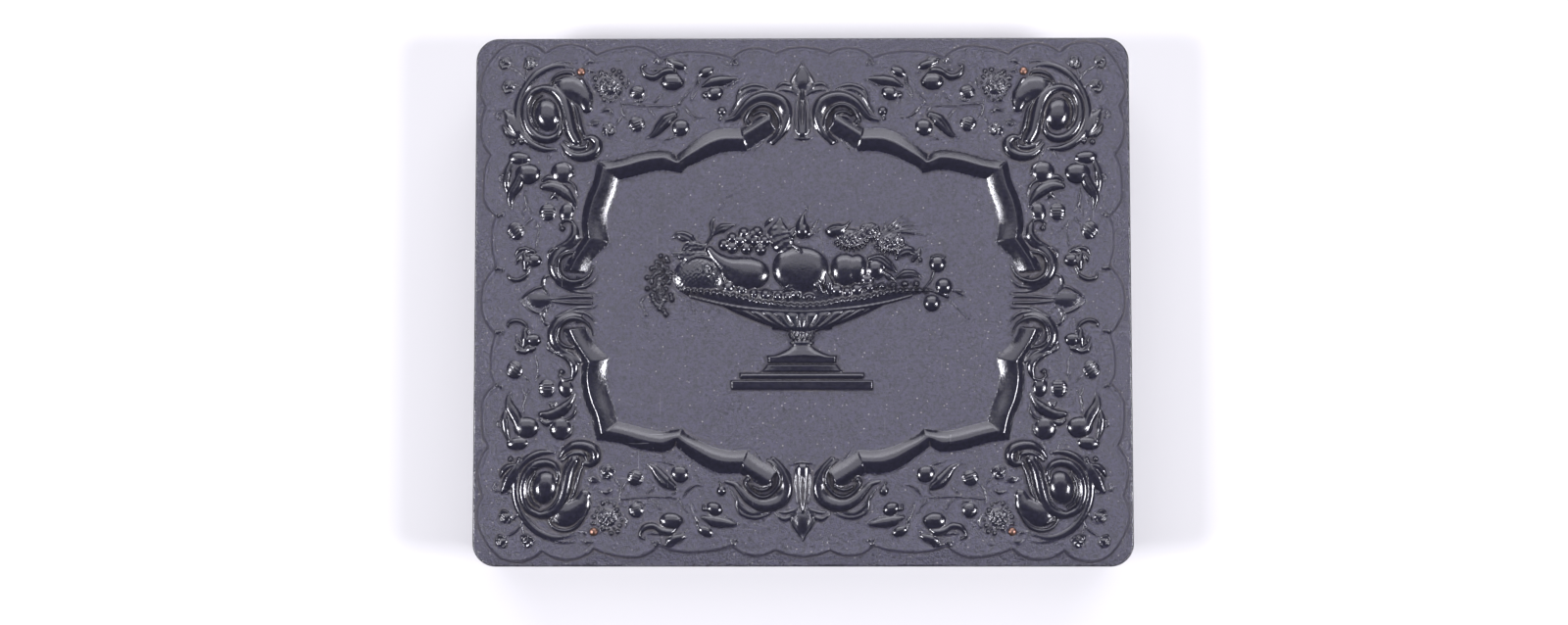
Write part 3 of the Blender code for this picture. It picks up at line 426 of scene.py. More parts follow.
@dataclass(frozen=True)
class Card:
    """Buff card with fibres and foxing."""

    name: str = "packing_card"
    dark: Colour = (0.34, 0.26, 0.16)
    light: Colour = (0.50, 0.41, 0.28)
    foxed: Colour = (0.25, 0.15, 0.07)

    def material(self) -> bpy.types.Material:
        """Builds the material.

        Returns:
            The material.
        """
        t = Tree(self.name)
        fibre = t.noise(1.0, 4, 0.65, t.place((1.2, 6.0, 3.0), (0, 0, 0.4)))
        fox = t.noise(0.16, 4, 0.6).ramp(0.55, 0.72) * 0.6
        colour = fox.blend(fibre.blend(self.dark, self.light), self.foxed)
        return t.finish(Base_Color=colour, Roughness=0.92, Normal=t.bump(fibre, 0.05))


@dataclass(frozen=True)
class Velvet:
    """Dark red silk velvet: short pile that lies in drifts, darker and flatter where it is pressed."""

    name: str = "pad_velvet"
    pile: Colour = (0.19, 0.008, 0.022)
    worn: Colour = (0.30, 0.085, 0.07)
    sheen: float = 0.5
    sheen_tint: Colour = (0.85, 0.32, 0.36)

    def material(self) -> bpy.types.Material:
        """Builds the material; the pressed places come from the mesh.

        Returns:
            The material.
        """
        t = Tree(self.name)
        drift = t.noise(0.10, 4, 0.6)
        tuft = t.cells(5.5)
        fine = t.noise(7.0, 2, 0.7)
        pressed = t.attribute("pressed")
        tone = (drift.ramp(0.25, 0.78) * 0.4 + fine * 0.5) * (1 - pressed * 0.8)
        colour = tone.blend(shade(self.pile, 0.36), self.pile)
        rubbed = t.noise(0.05, 5, 0.65).ramp(0.64, 0.82) * 0.2
        colour = rubbed.blend(colour, self.worn)
        height = tuft * 0.5 + fine * 0.5
        return t.finish(Base_Color=colour, Roughness=0.86 - pressed * 0.25, Normal=t.bump(height, 0.12),
                        Sheen_Weight=self.sheen, Sheen_Roughness=0.35, Sheen_Tint=self.sheen_tint,
                        Specular_IOR_Level=0.25)


# Sizes of the case in mm
HALF = np.array([78.5, 63.3])  # half its length and depth; points of the relief are drawn in shares of these
CORNER = 5.6  # radius of its corners
HEIGHT = 24.3  # shut, without the relief
RIM, WALL, FLOOR = 12.0, 5.2, 2.8  # rim of a half, inset of the wall's inner face, floor
SEAM = 12.15  # where the halves meet
HINGE_X, CLASP_X, RIVET_Y = 53.0, 49.5, 54.9
HINGE_WIDTH, CLASP_WIDTH = 10.5, 8.0
TAB = 5.2  # drop of a clasp strap's outer tab
RIVETS = ((HINGE_X, RIVET_Y), (-HINGE_X, RIVET_Y), (CLASP_X, -RIVET_Y), (-CLASP_X, -RIVET_Y))
SIDES = (("left", -1), ("right", 1))


class Section(Enum):
    """The cross-section of a carved stroke, from its middle (0) to its edge (1)."""

    ROUND = "round"
    BELL = "bell"

    def across(self, u: Array) -> Array:
        """Gives the share of the full height at u, which is 0 on the middle line and 1 at the edge.

        Args:
            u: places across the stroke.

        Returns:
            Shares from 0 to 1.
        """
        if self is Section.ROUND:
            return np.clip(1 - u * u, 0, 1) ** 0.6
        return 0.5 - 0.5 * np.cos(np.pi * np.clip(1 - u, 0, 1))


def curve(points: Sequence[Point], steps: int = 7) -> Array:
    """Runs a Catmull-Rom curve through drawn points.

    Args:
        points: drawn points in shares.
        steps: straight pieces between two points.

    Returns:
        Points of the curve in mm, one row each.
    """
    p = np.array(points, float) * HALF
    if len(p) == 2:
        return p[0] + np.linspace(0, 1, steps + 1)[:, None] * (p[1] - p[0])
    p = np.vstack((2 * p[0] - p[1], p, 2 * p[-1] - p[-2]))
    t = np.linspace(0, 1, steps, endpoint=False)[:, None]
    a, b, c, d = p[:-3, None], p[1:-2, None], p[2:-1, None], p[3:, None]
    run = 0.5 * (2 * b + (c - a) * t + (2 * a - 5 * b + 4 * c - d) * t**2 + (3 * b - a - 3 * c + d) * t**3)
    return np.vstack((run.reshape(-1, 2), p[-2]))


def nearest(x: Array, y: Array, line: Array) -> tuple[Array, Array, Array]:
    """Measures from every place to a line of straight pieces.

    Args:
        x, y: the places, mm.
        line: the line's points, mm.

    Returns:
        The distance, the share of the line's length at the nearest point, and the side (+1 left, -1 right).
    """
    best = np.full(x.shape, np.inf)
    along = np.zeros(x.shape)
    side = np.ones(x.shape)
    steps = np.hypot(*np.diff(line, axis=0).T)
    start = np.append(0, np.cumsum(steps))
    for (ax, ay), (bx, by), run, length in zip(line[:-1], line[1:], start, steps):
        dx, dy = bx - ax, by - ay
        if length == 0:
            continue
        t = np.clip(((x - ax) * dx + (y - ay) * dy) / length**2, 0, 1)
        gap = np.hypot(x - ax - t * dx, y - ay - t * dy)
        nearer = gap < best
        best = np.where(nearer, gap, best)
        along = np.where(nearer, run + t * length, along)
        side = np.where(nearer, np.sign(dx * (y - ay) - dy * (x - ax)), side)
    return best, along / start[-1], side


def within(x: Array, y: Array, ring: Array) -> Array:
    """Tells which places lie inside a closed ring, by counting the crossings of a line to the right.

    Args:
        x, y: the places, mm.
        ring: the ring's points, mm.

    Returns:
        True for each place inside.
    """
    inside = np.zeros(x.shape, bool)
    for (ax, ay), (bx, by) in zip(ring, np.roll(ring, -1, axis=0)):
        if ay == by:
            continue
        inside ^= ((ay > y) != (by > y)) & (x < (bx - ax) * (y - ay) / (by - ay) + ax)
    return inside


@dataclass
class Sheet:
    """A sheet of heights in mm over a rectangle, into which shapes are carved."""

    low: Point
    high: Point
    pitch: float = 0.125

    def __post_init__(self) -> None:
        """Lays the grid of places with its heights at 0."""
        self.across = np.arange(self.low[0], self.high[0] + self.pitch / 2, self.pitch)
        self.up = np.arange(self.low[1], self.high[1] + self.pitch / 2, self.pitch)
        self.height = np.zeros((len(self.up), len(self.across)))

    def window(self, points: Array, margin: float) -> tuple[tuple[slice, slice], Array, Array]:
        """Cuts out the part of the sheet round some points.

        Args:
            points: points in mm, one row each.
            margin: mm kept round them.

        Returns:
            The window's slices and the places in it.
        """
        spans = []
        for axis, lay in enumerate((self.across, self.up)):
            a, b = points[:, axis].min() - margin, points[:, axis].max() + margin
            first, last = np.searchsorted(lay, (a, b))
            spans.append(slice(max(first, 0), max(last, first + 1)))
        x, y = np.meshgrid(self.across[spans[0]], self.up[spans[1]])
        return (spans[1], spans[0]), x, y

    def lift(self, place: tuple[slice, slice], shape: Array, soft: float = 0.1) -> None:
        """Takes the higher of sheet and shape, with the crease between them eased.

        Args:
            place: the window's slices.
            shape: heights in mm; 0 and less leave the sheet as it is.
            soft: mm over which the crease is eased.
        """
        was = self.height[place]
        ease = np.clip(shape, 0, soft) + 1e-9
        top = np.maximum(was, shape) + np.clip(ease - np.abs(was - shape), 0, None) ** 2 / (4 * ease)
        self.height[place] = np.where(shape > 0, top, was)

    def dome(self, at: Point, half: Point | float, height: float, turn: float = 0, ribs: float = 0,
             rough: float = 0, full: float = 0.55, rib_turn: float = 0.0) -> None:
        """Carves a dome, height times (1 - d squared) to a power, d being 1 at its edge.

        Grooves follow the sine across it. A knobbly surface is the sum of two sines, along and across, each
        shifted by a sine of the other direction.

        Args:
            at: middle in shares.
            half: half sizes in shares of the half length, or one for a round dome.
            height: mm.
            turn: degrees from the length.
            ribs: number of grooves across it.
            rough: depth share of a knobbly surface, as on seeds.
            full: the power; lower is fuller.
            rib_turn: degrees that the grooves are turned.
        """
        a, b = (half, half) if isinstance(half, (int, float)) else half
        a, b = a * HALF[0], b * HALF[0]
        middle = np.array(at) * HALF
        place, x, y = self.window(middle[None], max(a, b) + self.pitch)
        c, s = np.cos(np.radians(turn)), np.sin(np.radians(turn))
        dx, dy = x - middle[0], y - middle[1]
        u, v = (dx * c + dy * s) / a, (dy * c - dx * s) / b
        shape = height * np.clip(1 - u * u - v * v, 0, None) ** full
        if ribs:
            c, s = np.cos(np.radians(rib_turn)), np.sin(np.radians(rib_turn))
            shape = shape * (0.68 + 0.32 * np.abs(np.sin(np.pi * ribs * (v * c + u * s) / 2)) ** 0.7)
        if rough:
            shape = shape * (1 - rough * (0.5 + 0.25 * np.sin(x * 6.1 + 2 * np.sin(y * 3.7)) +
                                          0.25 * np.sin(y * 6.7 + 2 * np.sin(x * 4.3))))
        self.lift(place, shape)

    def stroke(self, points: Sequence[Point], width: Sequence[float] | float,
               height: Sequence[float] | float, section: Section = Section.ROUND, crease: float = 0,
               veins: float = 0, lean: float = 0.0) -> None:
        """Carves a stroke along a curve.

        A crease is a bell-shaped groove 0.28 of the half width to each side; side veins are a sine along the
        stroke that slants outwards and takes up to 0.16 of the height.

        Args:
            points: drawn points in shares.
            width: half widths along it in mm, evenly spaced.
            height: heights along it in mm, evenly spaced.
            section: its cross-section.
            crease: share of the height taken by a groove along the middle.
            veins: number of side veins along it.
            lean: moves the highest line off the middle, share of the half width to the left.
        """
        line = curve(points)
        widths, heights = np.atleast_1d(width), np.atleast_1d(height)
        place, x, y = self.window(line, widths.max() + self.pitch)
        gap, along, side = nearest(x, y, line)
        wide = np.interp(along, np.linspace(0, 1, len(widths)), widths)
        tall = np.interp(along, np.linspace(0, 1, len(heights)), heights)
        u = gap * side / np.maximum(wide, 1e-3)
        if lean:
            u = np.where(u > lean, (u - lean) / (1 - lean), (u - lean) / (1 + lean))
        shape = tall * section.across(np.abs(u)) * (np.abs(u) < 1)
        if crease:
            shape = shape * (1 - crease * np.exp(-((u / 0.28) ** 2)))
        if veins:
            wave = np.sin(2 * np.pi * (along * veins + 0.35 * np.abs(u)))
            shape = shape * (1 - 0.16 * (0.5 + 0.5 * wave) * np.clip(np.abs(u) * 3, 0, 1))
        self.lift(place, shape)

    def rosette(self, at: Point, radius: float, petals: int, height: float, turn: float = 0.0) -> None:
        """Carves a flower with a scalloped edge and a raised eye.

        Its height is waved by the cosine of three times the angle plus 8.5 times the share of the radius, so
        that the petals curl round the eye.

        Args:
            at: middle in shares.
            radius: share of the half length.
            petals: number of petals.
            height: mm.
            turn: degrees.
        """
        middle, r = np.array(at) * HALF, radius * HALF[0]
        place, x, y = self.window(middle[None], r + self.pitch)
        gap = np.hypot(x - middle[0], y - middle[1]) / r
        around = np.arctan2(y - middle[1], x - middle[0]) + np.radians(turn)
        edge = 0.86 + 0.14 * np.abs(np.cos(around * petals / 2)) ** 0.6
        dome = np.clip(1 - (gap / edge) ** 2, 0, 1) ** 0.42
        swirl = 0.80 + 0.20 * np.cos(3 * around + 8.5 * gap)
        self.lift(place, height * dome * np.where(gap < 0.3, 1.05, swirl))

    def vessel(self, outline: Sequence[Point], depth: float, middle: float = -0.002, ribs: float = 0,
               ribs_above: Sequence[Point] = (), rib_depth: float = 0.3, flat: float = 0.0) -> None:
        """Carves a turned vessel seen from the side.

        Where it is w mm wide to each side, its height is depth times (1 - exp(-w / 2.4)) times
        (1 - (x / w) squared) to the power 0.42. A gadroon is the cosine of the angle round the vessel.

        Args:
            outline: heights and half widths w in shares, from the foot up; two at one height make a step.
            depth: mm.
            middle: x share of its axis.
            ribs: gadroons across the half that is seen, which crowd towards its sides.
            ribs_above: drawn line below which the gadroons lie.
            rib_depth: mm.
            flat: 1 for a flat slab instead of a round.
        """
        p = np.array(outline)
        corners = np.array([(middle - p[:, 1].max(), p[0, 0]), (middle + p[:, 1].max(), p[-1, 0])]) * HALF
        place, x, y = self.window(corners, 0)
        w = np.interp(y / HALF[1], p[:, 0], p[:, 1]) * HALF[0]
        u = (x - middle * HALF[0]) / np.maximum(w, 1e-3)
        around = np.clip(1 - u * u, 0, None) ** 0.42
        edge = np.clip((1 - np.abs(u)) * w / 0.35, 0, 1) ** 0.6
        shape = depth * ((1 - flat) * (1 - np.exp(-w / 2.4)) * around + flat * edge)
        if ribs:
            turn = np.arcsin(np.clip(u, -1, 1))
            rib = np.abs(np.cos(turn * ribs + 0.25 * np.sign(u) * (y - corners[0, 1]))) ** 0.8
            line = curve(ribs_above)
            under = np.clip((np.interp(x, line[:, 0], line[:, 1]) - y) / 0.5, 0, 1)
            shape = shape + rib_depth * under * (rib - 0.35) * around ** 0.5
        self.lift(place, shape * (np.abs(u) < 1), soft=0.05)

    def sink(self, ring: Array, level: float, slope: float = 0.5) -> None:
        """Lowers what stands above level inside a ring, over slope mm from its edge.

        Args:
            ring: the ring's points, mm.
            level: height left standing, mm.
            slope: mm over which it comes down.
        """
        place, x, y = self.window(ring, 0)
        depth = np.clip(nearest(x, y, np.vstack((ring, ring[:1])))[0] / slope, 0, 1) * within(x, y, ring)
        was = self.height[place]
        self.height[place] = was + (np.minimum(was, level) - was) * depth

    def moulding(self, arcs: Sequence[tuple[Any, Any, float]], height: float) -> None:
        """Carves a moulding arc by arc, mitred at its ends.

        Its section is a quarter of a sine up to the ridge, and a steeper flank outside it.

        Args:
            arcs: for each arc the inner edge, the outer edge and the ridge's place as a share of the width.
            height: mm at the ridge.
        """
        for inner, outer, ridge in arcs:
            ins, outs = curve(inner), curve(outer)
            ring = np.vstack((ins, outs[::-1]))
            place, x, y = self.window(ring, self.pitch)
            long_in, long_out = (np.vstack((2 * e[0] - e[2], e, 2 * e[-1] - e[-3])) for e in (ins, outs))
            to_in, to_out = nearest(x, y, long_in)[0], nearest(x, y, long_out)[0]
            t = to_in / np.maximum(to_in + to_out, 1e-6)
            rise = np.sin(np.clip(t / ridge, 0, 1) * np.pi / 2)
            fall = np.clip((1 - t) / (1 - ridge), 0, 1) ** 0.8
            self.lift(place, height * np.minimum(rise, fall) * within(x, y, ring), soft=0.02)

    def mirrored(self) -> "Sheet":
        """Gives the whole sheet made of this quarter and its three mirror images.

        Returns:
            The whole sheet.
        """
        whole = Sheet((-self.high[0], -self.high[1]), self.high, self.pitch)
        right = np.vstack((self.height[:0:-1], self.height))
        whole.height = np.hstack((right[:, :0:-1], right))
        return whole

    def copy(self) -> "Sheet":
        """Gives a second sheet with the same heights.

        Returns:
            The second sheet.
        """
        twin = Sheet(self.low, self.high, self.pitch)
        twin.height = self.height.copy()
        return twin

    def seat(self, at: Point, radius: float, slope: float = 0.6) -> None:
        """Clears the ground round a rivet within the radius, and comes back to the carving over slope mm."""
        x, y = np.meshgrid(self.across, self.up)
        self.height *= np.clip((np.hypot(x - at[0], y - at[1]) - radius) / slope, 0, 1)

    def eased(self, passes: int = 1) -> None:
        """Rounds the sharpest creases by averaging each height with its neighbours, passes times.

        Args:
            passes: how often.
        """
        for _ in range(passes):
            for axis in (0, 1):
                h = self.height
                n = h.shape[axis]
                before, after = np.clip(np.arange(n) - 1, 0, None), np.clip(np.arange(n) + 1, None, n - 1)
                self.height = (np.take(h, before, axis) + 2 * h + np.take(h, after, axis)) / 4

    def at(self, x: Array, y: Array) -> Array:
        """Reads the heights at any places, in mm, between the grid's own.

        Args:
            x, y: the places, mm.

        Returns:
            The heights.
        """
        i = np.clip((x - self.low[0]) / self.pitch, 0, len(self.across) - 1.001)
        j = np.clip((y - self.low[1]) / self.pitch, 0, len(self.up) - 1.001)
        i0, j0 = i.astype(int), j.astype(int)
        u, v, h = i - i0, j - j0, self.height
        return ((h[j0, i0] * (1 - u) + h[j0, i0 + 1] * u) * (1 - v)
                + (h[j0 + 1, i0] * (1 - u) + h[j0 + 1, i0 + 1] * u) * v)


# The scalloped line arc by arc, from the middle of the back round the corner to the middle of the side
SCALLOP = (
    ((0, .96), (.045, .952), (.083, .935)),
    ((.083, .935), (.11, .95), (.14, .956), (.18, .947), (.215, .918)),
    ((.215, .918), (.26, .935), (.33, .943), (.39, .937), (.435, .918)),
    ((.435, .918), (.455, .94), (.50, .962), (.56, .957), (.60, .945), (.63, .93)),
    ((.63, .93), (.65, .95), (.68, .965), (.71, .971), (.75, .963), (.787, .938)),
    ((.787, .938), (.81, .961), (.84, .974), (.87, .977), (.91, .965), (.94, .93), (.955, .905), (.97, .87),
     (.98, .83), (.98, .78), (.965, .735)),
    ((.965, .735), (.976, .69), (.98, .64), (.97, .59), (.95, .55)),
    ((.95, .55), (.966, .5), (.97, .42), (.965, .37), (.93, .32)),
    ((.93, .32), (.943, .27), (.942, .19), (.93, .13)),
    ((.93, .13), (.955, .09), (.97, .05), (.975, 0)),
)
# The frame's arcs the same way round: inner edge, outer edge, and the ridge as a share of the width
ARCS = (
    (((.07, .63), (.12, .595), (.165, .555)), ((.115, .715), (.15, .685), (.19, .655)), .66),
    (((.165, .555), (.22, .556), (.27, .542), (.31, .52), (.345, .50), (.365, .475)),
     ((.19, .655), (.25, .655), (.29, .638), (.32, .615), (.35, .588), (.385, .553)), .55),
    (((.365, .475), (.42, .485), (.47, .475), (.51, .462), (.55, .45)),
     ((.385, .553), (.41, .572), (.45, .573), (.50, .562), (.56, .54), (.627, .53)), .6),
    (((.55, .45), (.56, .40), (.575, .35), (.583, .31), (.585, .27), (.575, .215)),
     ((.627, .53), (.64, .45), (.66, .39), (.672, .33), (.675, .28), (.672, .24)), .72),
    (((.575, .215), (.60, .185), (.63, .15), (.65, .10)),
     ((.672, .24), (.69, .20), (.712, .16), (.73, .11)), .68),
)
# Rows of the hanging grapes: height, first and last place
GRAPE_ROWS = (
    (.162, -.43, -.40), (.143, -.452, -.398), (.123, -.46, -.40), (.103, -.456, -.392), (.083, -.472, -.395),
    (.063, -.465, -.392), (.043, -.468, -.40), (.023, -.462, -.402), (.003, -.45, -.398),
    (-.017, -.452, -.41), (-.036, -.436, -.412), (-.054, -.424, -.414),
)


def carve_border() -> Sheet:
    """Carves one quarter of the lid's border: the scalloped edge, the moulding and everything round it.

    Returns:
        The quarter with x and y from 0.
    """
    s = Sheet((0.0, 0.0), (79.0, 64.0))
    s.moulding(ARCS, 1.6)
    for part in (top_scroll, side_scroll, top_motifs, corner_boss, corner_flowers, side_motifs):
        part(s)
    FieldEdge().carve(s)
    return s


@dataclass(frozen=True)
class FieldEdge:
    """The thread along the scalloped line and the band that falls away outside it, in mm."""

    thread: float = 0.2
    thread_inset: float = 0.45
    thread_half: float = 0.3
    slope: float = 0.45
    step: float = 0.5
    fall: float = 0.7
    fall_from: float = 4.5
    fall_over: float = 3.9
    far: float = 9.0
    field: Point = (60, 50)

    def carve(self, s: Sheet) -> None:
        """Drops the band outside the scalloped line below the field and runs a thread along the line.

        Args:
            s: the sheet that it is carved into.
        """
        line = np.vstack([curve(arc)[:-1] for arc in SCALLOP] + [np.array([SCALLOP[-1][-1]]) * HALF])
        x, y = np.meshgrid(s.across, s.up)
        near = (x > self.field[0]) | (y > self.field[1])
        gap = np.full(x.shape, self.far)
        gap[near] = nearest(x[near], y[near], line)[0]
        inside = within(x, y, np.vstack((line, [[line[-1, 0], -1], [-1, -1], [-1, line[0, 1]]])))
        signed = np.where(inside, gap, -gap)
        thread = self.thread * np.exp(-(((signed - self.thread_inset) / self.thread_half) ** 2))
        drop = np.clip(-signed / self.slope + 0.2, 0, 1)
        drop = drop * drop * (3 - 2 * drop)
        # inset from the rounded outer edge
        cx, cy = np.maximum(x - (HALF[0] - CORNER), 0), np.maximum(y - (HALF[1] - CORNER), 0)
        straight = np.minimum(HALF[0] - x, HALF[1] - y)
        inset = np.where((cx > 0) & (cy > 0), CORNER - np.hypot(cx, cy), straight)
        fall = np.clip((self.fall_from - inset) / self.fall_over, 0, 1) * self.fall
        s.height += thread - drop * (self.step + fall)


def top_scroll(s: Sheet) -> None:
    """Carves the scroll at the middle of the long side, with the lozenge and leaf beside it.

    Args:
        s: the sheet that it is carved into.
    """
    # broad band round the ring
    s.stroke(((.09, .60), (.062, .645), (.05, .70), (.062, .742), (.09, .762), (.125, .765), (.16, .745),
              (.185, .715), (.205, .69), (.235, .68)), (1.0, 1.3, 1.7, 1.9, 1.9, 1.7, 1.4, .9, .5),
             (.7, .9, 1.1, 1.2, 1.3, 1.3, 1.1, .9, .5), lean=.3)
    # its inner rim and hollow
    s.stroke(((.105, .60), (.082, .625), (.069, .66), (.075, .70), (.10, .732), (.13, .737), (.158, .715),
              (.172, .685), (.165, .672)), (.4, .5, .6, .6, .6, .6, .7, .8),
             (.8, 1.2, 1.4, 1.5, 1.5, 1.5, 1.5, 1.4))
    s.stroke(((.085, .62), (.068, .65), (.06, .69)), (.3, .4, .3), (.9, 1.1, .9))
    s.stroke(((.095, .665), (.10, .70), (.125, .712), (.15, .70)), (.5, .6, .6, .4), (1.3, 1.45, 1.5, 1.4))
    # leaf over it
    s.stroke(((.085, .787), (.115, .808), (.15, .815), (.185, .80), (.197, .775), (.20, .75), (.222, .705)),
             (.3, .5, .6, .6, .5, .4, .3), (.3, .5, .6, .6, .6, .6, .5))
    s.stroke(((.095, .785), (.15, .80), (.185, .775), (.205, .73), (.225, .70)), (.4, 1.6, 1.5, .9, .3),
             (.3, .5, .6, .6, .4), Section.BELL)
    s.dome((.245, .715), .016, .95)
    s.stroke(((.245, .70), (.25, .685)), (.4, .5), (.6, .7))
    # lines down beside the stem
    s.stroke(((.035, .705), (.038, .66), (.055, .63), (.075, .60)), (.3, .5, .4, .2), (.4, .6, .6, .3))
    s.stroke(((.05, .70), (.045, .66), (.062, .63)), (.2, .3, .2), (.5, .7, .5))
    s.stroke(((.12, .60), (.14, .575), (.155, .545)), (.3, .35, .2), (.4, .45, .2))
    # lozenge on the axis: a raised edge and a low pillow
    s.stroke(((0, .90), (.012, .872), (.026, .845), (.034, .82), (.03, .80), (.012, .785)),
             (.3, .4, .5, .5, .4, .3), (.5, .6, .7, .7, .6, .4))
    s.dome((0, .835), (.03, .048), .75, full=.8)
    s.stroke(((.012, .782), (.035, .812), (.06, .82), (.08, .80), (.083, .786)), (.3, .6, .7, .5, .25),
             (.4, .6, .6, .6, .3))
    s.stroke(((.008, .77), (.03, .79), (.06, .797), (.08, .787)), (.3, 1.0, .9, .3), (.4, .6, .6, .3),
             Section.BELL)
    s.stroke(((0, .79), (.006, .74), (.008, .69), (.004, .63)), (.5, .4, .6, 1.1), (.9, .8, .8, .9))
    s.stroke(((.016, .76), (.02, .72), (.022, .68), (.018, .64), (.008, .62)), (.3, .3, .4, .5, .5),
             (.5, .5, .6, .7, .6))
    s.stroke(((.0, .61), (.02, .612), (.04, .618)), (.6, .5, .2), (.6, .5, .2))


def side_scroll(s: Sheet) -> None:
    """Carves the scroll at the middle of the short side.

    Args:
        s: the sheet that it is carved into.
    """
    s.stroke(((.675, .235), (.70, .21), (.73, .19), (.752, .16), (.758, .13), (.752, .10), (.735, .075),
              (.70, .058), (.67, .06)), (.6, .9, 1.2, 1.4, 1.4, 1.3, 1.1, .9, .5),
             (.6, .8, 1.0, 1.1, 1.2, 1.2, 1.1, 1.0, .6), lean=-.2)
    s.stroke(((.695, .18), (.722, .172), (.738, .15), (.74, .12), (.73, .09), (.705, .07), (.675, .072),
              (.648, .09)), (.5, .6, .6, .6, .7, .8, .7, .4), (1.2, 1.4, 1.5, 1.5, 1.5, 1.4, 1.3, .9))
    s.stroke(((.635, .13), (.645, .10), (.665, .08), (.685, .085)), (.3, .4, .4, .3), (.7, .9, .9, .7))
    s.stroke(((.625, .095), (.64, .065), (.665, .045), (.69, .045)), (.25, .4, .4, .2), (.4, .6, .6, .3))
    s.stroke(((.635, .075), (.655, .055), (.685, .045), (.72, .048), (.75, .065)), (.3, .4, .5, .5, .3),
             (.5, .6, .7, .7, .5))
    # tail running up to the bead
    s.stroke(((.70, .30), (.695, .285), (.69, .26), (.695, .235), (.715, .21), (.745, .198)),
             (.4, 1.0, 1.3, 1.3, 1.1, .6), (.6, .9, 1.1, 1.1, 1.0, .7), lean=.2)
    s.stroke(((.70, .297), (.72, .302), (.737, .285)), (.5, .5, .4), (.9, .9, .8))
    s.stroke(((.735, .29), (.73, .275), (.72, .27)), (.3, .4, .3), (.7, .8, .6))
    s.dome((.73, .27), .010, 1.1)
    s.stroke(((.757, .195), (.77, .18), (.772, .15)), (.5, .6, .3), (.6, .6, .4))
    # leaf towards the axis
    s.stroke(((.758, .10), (.782, .085), (.787, .055), (.775, .03), (.762, .022)), (.4, 1.0, 1.1, .8, .4),
             (.4, .6, .65, .6, .4), Section.BELL)
    s.stroke(((.762, .098), (.785, .08), (.79, .05), (.775, .025)), (.25, .4, .4, .25), (.4, .65, .65, .4))
    # fleur on the axis
    s.stroke(((.64, .012), (.69, .012), (.735, .008), (.765, .005)), (.5, .6, .5, .3), (.7, .75, .7, .5))
    s.stroke(((.628, .02), (.64, .028), (.68, .03), (.71, .04), (.73, .05)), (.3, .4, .5, .5, .3),
             (.4, .55, .6, .6, .4))
    s.stroke(((.775, .045), (.80, .048), (.825, .034), (.848, .012), (.855, 0)), (.3, .45, .5, .45, .3),
             (.4, .6, .65, .6, .4))
    s.dome((.80, 0), (.05, .03), .7, full=.8)


